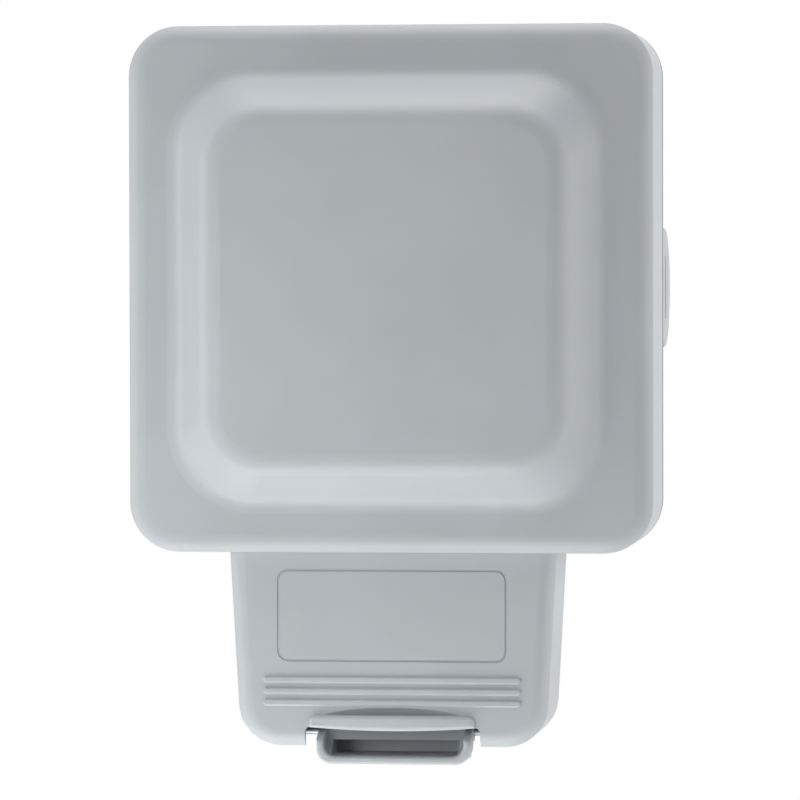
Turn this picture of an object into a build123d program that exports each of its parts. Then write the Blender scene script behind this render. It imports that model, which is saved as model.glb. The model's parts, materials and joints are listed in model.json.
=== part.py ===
from build123d import *
import math
import os

os.makedirs("parts", exist_ok=True)

# Outdoor weatherproof socket with a hinged lid. All sizes are in millimetres.
# The wall is the plane Y = 0, the front faces -Y and Z is up.
# A depth is a distance in front of the wall, so depth d lies at Y = -d. A level is a Z.

# Clearances, and how far a cut or a joined block runs past a face
CONTACT_GAP = 0.3
PIN_FIT = 0.02
PIN_RUN = 0.05
OVERRUN = 1.0

# Conduit entries
CONDUIT_BORE = 10.05
CONDUIT_WALL = 4.35
CONDUIT_REACH = 5.1
CONDUIT_BOSS = CONDUIT_BORE + CONDUIT_WALL
CONDUIT_DEPTH = CONDUIT_BOSS + 2 * CONTACT_GAP
PLUG_HEAD = 2.2
PLUG_CHAMFER = 1.1
PLUG_SLOT = (1.8, 15.0, 1.2)
WASHER_SEAT = 0.65
WASHER_EDGE = 1.5
WASHER_THICK = 0.8
WASHER_RADII = (CONDUIT_BORE + WASHER_SEAT, CONDUIT_BOSS - WASHER_EDGE)

# Depths of the back box, the front frame and the lid
FRAME_LAP = 5.6
BOX_SEAL_THICK = 1.6
DECK_THICK = 4.8
COLLAR_RISE = 14.0
SEAL_THICK = 4.0
LID_LAP = 4.0
LID_HEADROOM = 10.0
FRAME_BACK = CONDUIT_DEPTH + CONDUIT_BOSS + 2 * CONTACT_GAP
BOX_FRONT = FRAME_BACK + FRAME_LAP
DECK_BACK = BOX_FRONT + BOX_SEAL_THICK
DECK_FRONT = DECK_BACK + DECK_THICK
COLLAR_FRONT = DECK_FRONT + COLLAR_RISE
SEAL_FRONT = COLLAR_FRONT + SEAL_THICK
LID_BACK = DECK_FRONT - LID_LAP
RIM_DEPTH = SEAL_FRONT + LID_HEADROOM

# Half widths, from the socket plate outwards to the lid
PLATE_SIZE = 86.0
PLATE_ROOM = 2.8
COLLAR_WALL = 2.2
DECK_MARGIN = 7.0
FRAME_SKIRT = 2.2
LID_ROOM = 3.5
LID_WALL = 2.5
PLATE_HALF = PLATE_SIZE / 2
COLLAR_HALF = PLATE_HALF + PLATE_ROOM + COLLAR_WALL
FRAME_HALF = COLLAR_HALF + DECK_MARGIN
BOX_HALF = FRAME_HALF - FRAME_SKIRT - CONTACT_GAP
LID_HALF = FRAME_HALF + LID_ROOM + LID_WALL
CONDUIT_END = BOX_HALF + CONDUIT_REACH

# Lid shell
LID_CORNER = 11.6
BEVEL_WIDTH = 1.8
BEVEL_DROP = 2.2
RIM_ROUND = 5.0
RIM_WIDTH = 11.6
GROOVE_BACK = 0.9
GROOVE_WIDTH = 1.8
GROOVE_SINK = 0.9

# Raised panel on the lid
PANEL_RISE = 11.0
PANEL_SLOPE = 52.6
PANEL_TOP_CORNER = 14.0
PANEL_FOOT_CORNER = 16.5
PANEL_TOP_ROUND = 7.0
PANEL_FOOT_ROUND = 5.2
PANEL_HALF = LID_HALF - RIM_WIDTH
PANEL_SHRINK = PANEL_RISE / math.tan(math.radians(PANEL_SLOPE))

# Sealing collar with the flex tray below it
COLLAR_CORNER = 12.0
TRAY_CORNER = 4.0
TRAY_FLOOR = 2.4
TRAY_FILLET = 4.0
TRAY_EASE = 1.0
TRAY_CLEAR = 8.2
TRAY_HALF = COLLAR_HALF - COLLAR_CORNER - TRAY_FILLET - TRAY_EASE

# Chin of the lid, in front of the tray
CHIN_DROP = 45.2
CHIN_LAP = 9.0
CHIN_STEP = 4.5
CHIN_ROOM = 2.15
CHIN_TAPER = 3.05
CHIN_CORNER = 10.0
CHIN_ROUND = 4.0
CHIN_DEPTH = RIM_DEPTH - CHIN_STEP
CHIN_TOP = CHIN_LAP - LID_HALF
CHIN_BOTTOM = -LID_HALF - CHIN_DROP
CHIN_BOTTOM_HALF = TRAY_HALF + CHIN_ROOM + LID_WALL
CHIN_TOP_HALF = CHIN_BOTTOM_HALF + CHIN_TAPER
TRAY_BOTTOM = CHIN_BOTTOM + TRAY_CLEAR

# Label field and grip bars on the chin; a raise is a height above the foot of the chin
LABEL_SIZE = (53.7, 21.5)
LABEL_CORNER = 2.7
LABEL_RAISE = 30.45
LABEL_LINE = 0.5
LABEL_SINK = 0.25
GRIP_LENGTH = 60.2
GRIP_HEIGHT = 1.55
GRIP_RISE = 0.6
GRIP_CHAMFER = 0.35
GRIP_RAISE = 10.15
GRIP_PITCH = 2.675
GRIP_COUNT = 3

# Notch for the latch, and the lugs that hold its pin
NOTCH_HALF = 20.5
NOTCH_RAISE = 4.5
NOTCH_SAG = 0.8
NOTCH_ROUND = 1.0
LUG_INSET = 1.8
LUG_WIDTH = 3.0
LUG_RAISE = 6.4
LUG_REACH = 2.6
PIN_SEAT = 2.5
FLEX_CUT_MARGIN = 4.0
NOTCH_EDGE = CHIN_BOTTOM + NOTCH_RAISE
LUG_TOP = CHIN_BOTTOM + LUG_RAISE
LUG_START = NOTCH_HALF + LUG_INSET
FLEX_CUT_HALF = LUG_START + LUG_WIDTH + FLEX_CUT_MARGIN

# Latch
LATCH_GAP = 2.5
LATCH_WALL = 1.6
LATCH_PIN = 1.0
LATCH_BARREL = 2.2
PIVOT_BACK = 11.1
PIVOT_RAISE = 2.8
SCOOP_BACK = 1.5
SCOOP_RAISE = 4.2
SCOOP_RADIUS = 8.5
SCOOP_WALL = 1.9
SCOOP_CORNER = 3.5
SCOOP_INNER_CORNER = 2.8
POUCH_REACH = 5.0
POUCH_DROP = 1.8
POUCH_INSET = 1.5
SCOOP_SIDE_RAISE = 1.4
HOOK_HALF = 11.0
HOOK_REACH = 9.2
HOOK_THICK = 2.0
HOOK_BITE = 1.4
ARM_THICK = 2.0
CATCH_CLEAR = 0.7
CATCH_THICK = 2.0
LATCH_HALF = NOTCH_HALF - LATCH_GAP
LATCH_PIVOT = (CHIN_DEPTH - PIVOT_BACK, CHIN_BOTTOM + PIVOT_RAISE)
SCOOP_CENTRE = (CHIN_DEPTH - SCOOP_BACK, CHIN_BOTTOM + SCOOP_RAISE)
SCOOP_SIDE_TOP = CHIN_BOTTOM + SCOOP_SIDE_RAISE
POUCH_BACK = LATCH_PIVOT[0] - POUCH_REACH
POUCH_TOP = LATCH_PIVOT[1] - POUCH_DROP
LUG_BACK = LATCH_PIVOT[0] - LUG_REACH
FLEX_CUT_DEPTH = LUG_BACK - CONTACT_GAP
HOOK_BACK = LATCH_PIVOT[0] - HOOK_REACH
CATCH_BACK = HOOK_BACK + HOOK_THICK + CONTACT_GAP
ARM_LEVELS = (LATCH_PIVOT[1] - ARM_THICK / 2, LATCH_PIVOT[1] + ARM_THICK / 2)
CATCH_LEVEL = ARM_LEVELS[1] + CATCH_CLEAR
HOOK_TOP = CATCH_LEVEL + HOOK_BITE

# Latch spring: a coil on the pin, one leg under the lid and one under an arch on the latch
COIL_RADIUS = 1.75
COIL_WIRE = 0.3
COIL_PITCH = 0.8
COIL_TURNS = 6.0
COIL_SIDE = 1.2
COIL_ROOM = 0.4
COIL_LEG_LAP = 1.2
LEG_SLOT = 0.8
LEG_ROOM = 1.05
ARCH_BACK = 4.4
ARCH_LENGTH = 1.4
ARCH_TOP = 0.7
ARCH_LEG_END = 0.4
COIL_LENGTH = COIL_PITCH * COIL_TURNS
COIL_GAP_HALF = COIL_LENGTH / 2 + COIL_SIDE
COIL_LEG_LEVEL = LATCH_PIVOT[1] + COIL_RADIUS
LEG_TOP = COIL_LEG_LEVEL + COIL_WIRE + PIN_RUN
ARCH_DEPTHS = (LATCH_PIVOT[0] - ARCH_BACK, LATCH_PIVOT[0] - ARCH_BACK + ARCH_LENGTH)

# Finger dish and lip at the foot of the chin
DISH_RAISE = 4.8
DISH_SINK = 2.4
DISH_SWEEP = 76.0
DISH_TUBE = 5.0
DISH_PAD_HALF = 24.0
DISH_PAD_HEIGHT = 14.3
DISH_PAD_BACK = SEAL_FRONT + CONTACT_GAP
LIP_RAISE = 7.3
LIP_OUT = 1.9
LIP_END_OUT = 1.1
LIP_INSET = 1.1
LIP_CORNER = 1.8
LIP_ROUND = 1.0
LIP_HALF = NOTCH_HALF - LIP_INSET
COIL_LEG_FRONT = DISH_PAD_BACK + COIL_LEG_LAP

# Lid hinge
HINGE_BARREL = 2.8
HINGE_PIN = 1.25
HINGE_BACK = 4.0
HINGE_LIFT = 0.4
HINGE_INSET = 21.0
HINGE_ROOT = 1.5
LID_KNUCKLE = 8.0
FRAME_KNUCKLE = 5.0
HINGE_DEPTH = LID_BACK - HINGE_BACK
HINGE_LEVEL = FRAME_HALF + HINGE_BARREL + HINGE_LIFT
HINGE_X = FRAME_HALF - HINGE_INSET

# Front frame
FRAME_CORNER = 11.0

# Lid seal on its rib
RIB_WALL = 1.6
RIB_BITE = 2.2
SEAL_WIDTH = 4.4
RIB_TIP = SEAL_FRONT - RIB_BITE

# Flex seals in the tray
FLEX_NOTCH = 11.0
FLEX_FLANGE = 1.2
FLEX_HOLE = 3.0
FLEX_SLIT = 0.6
FLEX_SILL = 2.0
FLEX_RIM = 1.0
FLEX_NOTCH_BACK = DECK_FRONT + FLEX_SILL
FLEX_DEPTH = FLEX_NOTCH_BACK + FLEX_RIM + FLEX_HOLE
FLEX_X = TRAY_HALF - TRAY_CORNER - FLEX_NOTCH / 2 - FLEX_FLANGE - CONTACT_GAP

# Back box
BOX_CORNER = 9.0
BOX_WALL = 2.6
BOX_FLOOR = 2.8
BOX_SEAL_EASE = 4.0
PILLAR = 4.5
FIXING_SPACING = 70.0
FIXING_HOLE = 2.4
FIXING_PAD = 5.5
FIXING_PAD_RISE = 1.7
FIXING_PAD_FRONT = BOX_FLOOR + FIXING_PAD_RISE
PLUG_BODY_END = BOX_HALF - BOX_WALL + 2 * CONTACT_GAP

# Frame screws, on the diagonals between the collar and the frame's corners
SCREW_SLOT = 0.8
CORNER_SCREW_RADIUS = 1.5
CORNER_SCREW_HEAD = 3.0
CORNER_SCREW_LENGTH = 22.0
CORNER_SCREW_CLEAR = 0.6
CORNER_SCREW_BACK = DECK_FRONT - CORNER_SCREW_LENGTH
CORNER_SCREW_REACH = COLLAR_CORNER + CORNER_SCREW_HEAD + CORNER_SCREW_CLEAR
CORNER_SCREW = COLLAR_HALF - COLLAR_CORNER + CORNER_SCREW_REACH / math.sqrt(2)

# Socket faceplate
PLATE_CORNER = 4.0
PLATE_THICK = 5.0
PLATE_WALL = 2.4
PLATE_SIDE = 1.8
PLATE_ROUND = 1.2
PLATE_FRONT = DECK_FRONT + PLATE_THICK
PLATE_BACK = PLATE_FRONT - PLATE_WALL
PLATE_SCREW_X = 30.15
PLATE_SCREW_RADIUS = 1.75
PLATE_SCREW_HEAD = 3.4
PLATE_SCREW_SINK = 0.4
PLATE_SCREW_LENGTH = 12.0
PLATE_BOSS = 3.5
PLATE_COLUMN = 5.0
PLATE_SCREW_BACK = DECK_FRONT - PLATE_SCREW_LENGTH
EARTH_LEVEL = 5.0
POLE_LEVEL = -17.2
POLE_X = 11.1
EARTH_SLOT = (4.9, 8.8)
POLE_SLOT = (7.2, 4.9)

# Shutter
SHUTTER_THICK = 2.2
SHUTTER_EDGE = 2.6
SHUTTER_MARGIN = 2.85
SHUTTER_TRAVEL = 6.6
SHUTTER_WINDOW_GROWTH = 0.4
WEDGE_SIDE = 0.35
WEDGE_DEPTH = 7.2
WEDGE_DROP = 3.0
SLIDE_ROOM = 0.6
SLIDE_END = 2.0
SPRING_RADIUS = 1.6
SPRING_WIRE = 0.3
SPRING_LENGTH = 11.5
SPRING_TURNS = 5
SHUTTER_HALF = POLE_X + POLE_SLOT[0] / 2 + SHUTTER_EDGE
SHUTTER_BACK = PLATE_BACK - SHUTTER_THICK
SHUTTER_BOTTOM = POLE_LEVEL - POLE_SLOT[1] / 2 - SHUTTER_MARGIN
SHUTTER_TOP = EARTH_LEVEL - EARTH_SLOT[1] / 2
WEDGE_HALF = EARTH_SLOT[0] / 2 - WEDGE_SIDE
WEDGE_BACK = PLATE_BACK - WEDGE_DEPTH
WEDGE_BOTTOM = SHUTTER_TOP - WEDGE_DROP
SLIDE_TOP = EARTH_LEVEL + EARTH_SLOT[1] / 2 + SLIDE_ROOM
SPRING_BOTTOM = SHUTTER_BOTTOM - SPRING_LENGTH

# Rocker switch
ROCKER_RADIUS = 11.0
ROCKER_HALF = 5.7
ROCKER_TILT = 7.0
ROCKER_FACE = 4.2
ROCKER_REAR = 2.6
ROCKER_STEM = 9.0
ROCKER_STEM_HALF = 1.2
ROCKER_WINDOW_GAP = 0.3
TRUNNION_RADIUS = 1.45
TRUNNION_REACH = 1.9
POCKET_DEPTH = 12.0
SWITCH_LEAF_HALF = 2.5
SWITCH_LEAF_THICK = 0.5
SWITCH_LEAF_RISE = 0.8
SWITCH_LEAF_LENGTH = 4.2
SWITCH_ROOT = 2.5
SWITCH_POST_RISE = 2.8
SWITCH_POST_HEIGHT = 2.6
SWITCH_POST_LENGTH = 3.0
ROCKER_PIVOT_DEPTH = PLATE_BACK - TRUNNION_RADIUS - PIN_RUN
TRUNNION_END = ROCKER_HALF + TRUNNION_REACH
POCKET_REACH = ROCKER_RADIUS + ROCKER_WINDOW_GAP
POCKET_BACK = ROCKER_PIVOT_DEPTH - POCKET_DEPTH

# Socket rear moulding
BASE_DEPTH = 28.6
BASE_WALL = 1.6
BASE_CLEAR = 1.15
BASE_EDGE = 4.0
WINDOW_ROOM = 1.0
POST_LEVEL = 12.0
POST_RADIUS = 3.0
POST_LENGTH = 8.4
BASE_SCREW_RADIUS = 1.3
BASE_SCREW_HEAD = 2.6
BASE_SCREW_HEAD_THICK = 1.7
BASE_SCREW_WALL = 6.2
BASE_SCREW_BITE = 6.8
BASE_BACK = PLATE_BACK - BASE_DEPTH
BASE_HALF = PLATE_SCREW_X - PLATE_COLUMN - BASE_CLEAR
BASE_LEVELS = (SPRING_BOTTOM - BASE_WALL, PLATE_HALF - PLATE_SIDE - CONTACT_GAP)
ROCKER_LEVEL = BASE_LEVELS[1] - BASE_WALL - POCKET_REACH
POST_X = BASE_HALF - BASE_EDGE
POST_BACK = PLATE_BACK - POST_LENGTH
BASE_SCREW_SEAT = POST_BACK - BASE_SCREW_WALL
BASE_SCREW_TIP = POST_BACK + BASE_SCREW_BITE

# Contacts and terminals
LEAF_GAP = 3.9
LEAF_THICK = 0.8
POLE_LEAF_WIDTH = 6.5
EARTH_LEAF_WIDTH = 8.0
FORK_CLEAR = 1.4
TERMINAL_SINK = 0.5
TERMINAL_LENGTH = 7.0
TERMINAL_HALF = 3.5
TERMINAL_SCREW_RADIUS = 1.6
TERMINAL_SCREW_HEAD = 2.6
WIRE_RADIUS = 1.6
WIRE_INSET = 2.2
TERMINAL_BACK = BASE_BACK + TERMINAL_SINK
FORK_BACK = TERMINAL_BACK + TERMINAL_LENGTH
POLE_FORK_FRONT = SHUTTER_BACK - FORK_CLEAR
EARTH_FORK_FRONT = WEDGE_BACK - FORK_CLEAR
WIRE_DEPTH = FORK_BACK - WIRE_INSET
TERMINAL_SCREW_TIP = WIRE_DEPTH - WIRE_RADIUS - CONTACT_GAP


# Helpers


def wall_plane(depth):
    """Plane parallel to the wall; its local axes are X and Z."""
    return Plane.XZ.offset(depth)


def slab(sketch, back, front):
    """Front-view sketch drawn out between two depths."""
    return extrude(wall_plane(back) * sketch, amount=front - back)


def square(half, corner):
    return RectangleRounded(2 * half, 2 * half, corner)


def both(half):
    """Span from -half to half."""
    return (-half, half)


def around(middle, half):
    """Span about a middle."""
    return (middle - half, middle + half)


def block(x, depth, z):
    """Box from three (low, high) pairs."""
    size = Box(x[1] - x[0], depth[1] - depth[0], z[1] - z[0])
    return Pos((x[0] + x[1]) / 2, -(depth[0] + depth[1]) / 2, (z[0] + z[1]) / 2) * size


def rod_x(radius, x, depth, z):
    rod = Rot(0, 90, 0) * Cylinder(radius, x[1] - x[0])
    return Pos((x[0] + x[1]) / 2, -depth, z) * rod


def rod_y(radius, x, depth, z):
    rod = Rot(90, 0, 0) * Cylinder(radius, depth[1] - depth[0])
    return Pos(x, -(depth[0] + depth[1]) / 2, z) * rod


def rod_z(radius, x, depth, z):
    return Pos(x, -depth, (z[0] + z[1]) / 2) * Cylinder(radius, z[1] - z[0])


def side_slice(points, x):
    """Side-view outline of (depth, level) points drawn across X."""
    face = make_face(Polyline(*[(-d, z) for d, z in points], close=True))
    return extrude(Plane.YZ.offset(x[0]) * face, amount=x[1] - x[0])


def edges_at_depth(shape, depth):
    """Edges that lie flat at one depth."""
    flat = shape.edges().filter_by(lambda e: e.bounding_box().size.Y < 0.01)
    return flat.filter_by(lambda e: abs(e.center().Y + depth) < 0.01)


def union(pieces):
    total = pieces[0]
    for piece in pieces[1:]:
        total = total + piece
    return total


def slotted_screw(shank, head, x, z, levels, slot_side):
    """Screw along the depth: levels are the tip, the seat and the head's far face."""
    tip, seat, face = levels
    screw = rod_y(shank, x, sorted((tip, seat)), z)
    screw = screw + rod_y(head, x, sorted((seat, face)), z)
    slot = sorted((face - slot_side * SCREW_SLOT, face + slot_side * OVERRUN))
    return screw - block(around(x, SCREW_SLOT / 2), slot, around(z, head))


# Outlines


def lid_outline(grow):
    return square(LID_HALF + grow, LID_CORNER + grow)


def chin_outline(grow):
    bottom = CHIN_BOTTOM - grow
    points = [
        (-CHIN_TOP_HALF - grow, CHIN_TOP),
        (-CHIN_BOTTOM_HALF - grow, bottom),
        (CHIN_BOTTOM_HALF + grow, bottom),
        (CHIN_TOP_HALF + grow, CHIN_TOP),
    ]
    plain = Sketch() + make_face(Polyline(*points, close=True))
    corners = [v for v in plain.vertices() if v.Y < bottom + 0.1]
    return fillet(corners, CHIN_CORNER + grow)


def collar_outline(grow):
    """Outline of the sealing collar: the socket space with the flex tray below it."""
    half = COLLAR_HALF + grow
    tray_half = TRAY_HALF + grow
    bottom = TRAY_BOTTOM - grow
    tray = Pos(0, bottom / 2) * RectangleRounded(2 * tray_half, -bottom, TRAY_CORNER + grow)
    whole = square(half, COLLAR_CORNER + grow) + tray
    at_level = [v for v in whole.vertices() if abs(v.Y + half) < 0.05]
    inner = [v for v in at_level if abs(abs(v.X) - tray_half) < 0.05]
    return fillet(inner, TRAY_FILLET - grow)


def collar_ring(width):
    """Band of the collar's outline, as wide as asked, about the middle of its wall."""
    margin = (width - COLLAR_WALL) / 2
    return collar_outline(margin) - collar_outline(-COLLAR_WALL - margin)


def notch_outline():
    low = CHIN_BOTTOM - CHIN_CORNER
    left = (-NOTCH_HALF, NOTCH_EDGE)
    right = (NOTCH_HALF, NOTCH_EDGE)
    edge = [
        ThreePointArc(left, (0, NOTCH_EDGE - NOTCH_SAG), right),
        Polyline(right, (NOTCH_HALF, low), (-NOTCH_HALF, low), left),
    ]
    plain = Sketch() + make_face(edge)
    corners = [v for v in plain.vertices() if v.Y > NOTCH_EDGE - 0.1]
    return fillet(corners, NOTCH_ROUND)


# Lid


def bevelled(outline, back, front):
    """Block whose front edge is bevelled all round."""
    shoulder = front - BEVEL_DROP
    sides = slab(outline(0), back, shoulder)
    foot = wall_plane(shoulder) * outline(0)
    top = wall_plane(front) * outline(-BEVEL_WIDTH)
    return sides + loft([foot, top], ruled=True)


def panel(inset, drop):
    """Raised panel, or the hollow behind it when inset and dropped."""
    half = PANEL_HALF - inset
    low = wall_plane(RIM_DEPTH - drop) * square(half, PANEL_FOOT_CORNER - inset)
    high = square(half - PANEL_SHRINK, PANEL_TOP_CORNER - inset)
    return loft([low, wall_plane(RIM_DEPTH + PANEL_RISE - drop) * high], ruled=True)


def lid_outer():
    head = bevelled(lid_outline, LID_BACK, RIM_DEPTH)
    head = fillet(edges_at_depth(head, RIM_DEPTH), RIM_ROUND)
    raised = panel(0, 0)
    raised = fillet(edges_at_depth(raised, RIM_DEPTH + PANEL_RISE), PANEL_TOP_ROUND)
    head = head + raised
    on_rim = edges_at_depth(head, RIM_DEPTH)
    foot = [e for e in on_rim if max(abs(e.center().X), abs(e.center().Z)) < PANEL_HALF + 0.1]
    head = fillet(foot, PANEL_FOOT_ROUND)
    groove = (LID_BACK + GROOVE_BACK, LID_BACK + GROOVE_BACK + GROOVE_WIDTH)
    head = head - slab(lid_outline(OVERRUN) - lid_outline(-GROOVE_SINK), *groove)
    chin = bevelled(chin_outline, LID_BACK, CHIN_DEPTH)
    rounded = [e for e in edges_at_depth(chin, CHIN_DEPTH) if e.center().Z < CHIN_TOP - OVERRUN]
    chin = fillet(rounded, CHIN_ROUND)
    return head + chin


def dish():
    """Finger dish above the lip: the foot of a large ring in front of the chin."""
    centre = CHIN_DEPTH - DISH_SINK + DISH_SWEEP
    ring = Torus(DISH_SWEEP - DISH_TUBE, DISH_TUBE)
    return Pos(0, -centre, CHIN_BOTTOM + DISH_RAISE) * ring


def finger_lip():
    back = CHIN_DEPTH - LID_WALL
    ends = CHIN_DEPTH + LIP_END_OUT
    reach = CHIN_DEPTH + LIP_OUT
    plan = [
        ThreePointArc((-LIP_HALF, -ends), (0, -reach), (LIP_HALF, -ends)),
        Polyline((LIP_HALF, -ends), (LIP_HALF, -back), (-LIP_HALF, -back), (-LIP_HALF, -ends)),
    ]
    bar = extrude(Plane.XY.offset(CHIN_BOTTOM) * make_face(plan), amount=LIP_RAISE)
    top = CHIN_BOTTOM + LIP_RAISE
    corners = [e for e in bar.edges().filter_by(Axis.Y) if e.center().Z > top - 0.1]
    bar = fillet(corners, LIP_CORNER)
    bar = bar - slab(notch_outline(), back - OVERRUN, reach + OVERRUN)
    return fillet([e for e in bar.edges() if e.center().Y < -ends + 0.1], LIP_ROUND)


def grip_bars():
    front = CHIN_DEPTH + GRIP_RISE
    bars = []
    for step in range(GRIP_COUNT):
        level = CHIN_BOTTOM + GRIP_RAISE + step * GRIP_PITCH
        outline = Pos(0, level) * SlotOverall(GRIP_LENGTH, GRIP_HEIGHT)
        bar = slab(outline, CHIN_DEPTH - LID_WALL, front)
        bars.append(chamfer(edges_at_depth(bar, front), GRIP_CHAMFER))
    return union(bars)


def make_lid():
    outer = lid_outer()
    behind = LID_BACK - OVERRUN
    inset = LID_WALL * math.tan(math.radians(PANEL_SLOPE / 2))
    hollow = slab(lid_outline(-LID_WALL), behind, RIM_DEPTH - LID_WALL) + panel(inset, LID_WALL)
    hollow = hollow + slab(chin_outline(-LID_WALL), behind, CHIN_DEPTH - LID_WALL)
    rib = slab(collar_ring(RIB_WALL), RIB_TIP, RIM_DEPTH + PANEL_RISE) & outer
    lid = outer - hollow + rib
    wall_middle = CHIN_DEPTH - LID_WALL / 2
    pad_levels = (LEG_TOP, LEG_TOP + DISH_PAD_HEIGHT)
    lid = lid + block(both(DISH_PAD_HALF), (DISH_PAD_BACK, wall_middle), pad_levels)
    lid = lid - dish()
    cut_levels = (CHIN_BOTTOM - OVERRUN, CHIN_BOTTOM + NOTCH_RAISE)
    lid = lid - block(both(FLEX_CUT_HALF), (behind, FLEX_CUT_DEPTH), cut_levels)
    lid = lid - block(both(LUG_START), (behind, CHIN_DEPTH - LID_WALL), cut_levels)
    for side in (-1, 1):
        lug = sorted((side * LUG_START, side * (LUG_START + LUG_WIDTH)))
        lid = lid + block(lug, (LUG_BACK, wall_middle), (CHIN_BOTTOM + LID_WALL / 2, LUG_TOP))
    lid = lid - slab(notch_outline(), behind, RIM_DEPTH)
    lid = lid + finger_lip() + grip_bars()
    field = [size - 2 * LABEL_LINE for size in LABEL_SIZE]
    line = RectangleRounded(*LABEL_SIZE, LABEL_CORNER)
    line = line - RectangleRounded(*field, LABEL_CORNER - LABEL_LINE)
    line = Pos(0, CHIN_BOTTOM + LABEL_RAISE) * line
    lid = lid - slab(line, CHIN_DEPTH - LABEL_SINK, RIM_DEPTH)
    lid = lid - rod_x(LATCH_PIN + PIN_FIT, both(LUG_START + PIN_SEAT), *LATCH_PIVOT)
    for x in both(HINGE_X):
        span = around(x, LID_KNUCKLE / 2)
        lid = lid + rod_x(HINGE_BARREL, span, HINGE_DEPTH, HINGE_LEVEL)
        lid = lid + block(span, (HINGE_DEPTH, LID_BACK + HINGE_ROOT), (HINGE_LEVEL, LID_HALF))
        lid = lid - rod_x(HINGE_PIN + PIN_RUN, span, HINGE_DEPTH, HINGE_LEVEL)
    return lid


def make_lid_seal():
    ring = slab(collar_ring(SEAL_WIDTH), COLLAR_FRONT, SEAL_FRONT)
    return ring - slab(collar_ring(RIB_WALL), RIB_TIP, SEAL_FRONT + OVERRUN)


# Latch


def scoop_front(half, radius, corner):
    """Front view of the scoop: straight sides and rounded bottom corners."""
    level = SCOOP_CENTRE[1]
    bottom = level - radius
    outline = Polyline((-half, level), (-half, bottom), (half, bottom), (half, level), close=True)
    plain = Sketch() + make_face(outline)
    return fillet([v for v in plain.vertices() if v.Y < bottom + 0.1], corner)


def scoop_trough(half, wall, corner, front):
    """Trough open to the front with a pouch under the pin, or with no wall the hollow in it."""
    depth, level = SCOOP_CENTRE
    radius = SCOOP_RADIUS - SCOOP_WALL + wall
    pouch_depths = (POUCH_BACK - wall, depth)
    levels = (level - radius, POUCH_TOP + wall)
    pouch = block(both(half - POUCH_INSET), pouch_depths, levels)
    trough = slab(scoop_front(half, radius, corner), POUCH_BACK - wall, front)
    return trough & (rod_x(radius, both(half), depth, level) + pouch)


def make_spring_arch():
    """Arch on the latch arm that the rear leg of the spring lifts."""
    inside = 2 * COIL_WIRE
    x = -COIL_LENGTH / 2
    arch = block(around(x, 2 * inside), ARCH_DEPTHS, (ARM_LEVELS[0], LEG_TOP + ARCH_TOP))
    return arch - block(around(x, inside), ARCH_DEPTHS, (ARM_LEVELS[1], LEG_TOP))


def make_latch():
    depth, level = SCOOP_CENTRE
    inner = SCOOP_RADIUS - SCOOP_WALL
    half_in = LATCH_HALF - LATCH_WALL
    span = both(LATCH_HALF)
    hollow = scoop_trough(half_in, 0, SCOOP_INNER_CORNER, depth + OVERRUN)
    scoop = scoop_trough(LATCH_HALF, SCOOP_WALL, SCOOP_CORNER, depth) - hollow
    crown = [
        (depth - inner, level),
        (depth, SCOOP_SIDE_TOP),
        (depth + OVERRUN, SCOOP_SIDE_TOP),
        (depth + OVERRUN, level + OVERRUN),
        (depth - inner, level + OVERRUN),
    ]
    scoop = scoop - side_slice(crown, both(LATCH_HALF + OVERRUN))
    barrel = rod_x(LATCH_BARREL, span, *LATCH_PIVOT) - rod_x(inner, span, depth, level)
    arm = block(both(HOOK_HALF), (HOOK_BACK, LATCH_PIVOT[0]), ARM_LEVELS)
    hook = block(both(HOOK_HALF), (HOOK_BACK, HOOK_BACK + HOOK_THICK), (ARM_LEVELS[0], HOOK_TOP))
    latch = scoop + (barrel - hollow) + arm + hook + make_spring_arch()
    coil = rod_x(COIL_RADIUS + COIL_WIRE + COIL_ROOM, both(COIL_GAP_HALF), *LATCH_PIVOT)
    leg_span = (COIL_LENGTH / 2 - LEG_SLOT, COIL_GAP_HALF)
    leg_depths = (LATCH_PIVOT[0], depth - inner + OVERRUN)
    leg = block(leg_span, leg_depths, around(COIL_LEG_LEVEL, LEG_ROOM))
    return latch - coil - leg - rod_x(LATCH_PIN + PIN_RUN, span, *LATCH_PIVOT)


def make_latch_pin():
    return rod_x(LATCH_PIN, both(LUG_START + PIN_SEAT - 2 * PIN_RUN), *LATCH_PIVOT)


def coil_spring(path, wire):
    return sweep(Plane(origin=path @ 0, z_dir=path % 0) * Circle(wire), path=path)


def make_latch_spring():
    start = (-COIL_LENGTH / 2, 0, 0)
    path = Helix(COIL_PITCH, COIL_LENGTH, COIL_RADIUS, center=start, direction=(1, 0, 0))
    coil = Pos(0, -LATCH_PIVOT[0], LATCH_PIVOT[1]) * coil_spring(path, COIL_WIRE)
    wire = COIL_WIRE + PIN_FIT
    lap = 2 * PIN_RUN
    rear_depths = (ARCH_DEPTHS[0] - ARCH_LEG_END, LATCH_PIVOT[0] + lap)
    rear = rod_y(wire, -COIL_LENGTH / 2, rear_depths, COIL_LEG_LEVEL)
    front = rod_y(wire, COIL_LENGTH / 2, (LATCH_PIVOT[0] - lap, COIL_LEG_FRONT), COIL_LEG_LEVEL)
    return coil + rear + front


# Front frame and its seals


def knuckle_spans():
    """X spans of the frame's hinge lugs, two beside each lid knuckle."""
    near = LID_KNUCKLE / 2 + CONTACT_GAP
    far = near + FRAME_KNUCKLE
    spans = []
    for x in both(HINGE_X):
        spans.append((x - far, x - near))
        spans.append((x + near, x + far))
    return spans


def corner_points(distance):
    return [(x, z) for x in both(distance) for z in both(distance)]


def flex_notch(x, grow):
    half = FLEX_NOTCH / 2 + grow
    return around(x, half), (FLEX_NOTCH_BACK - grow, COLLAR_FRONT)


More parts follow.
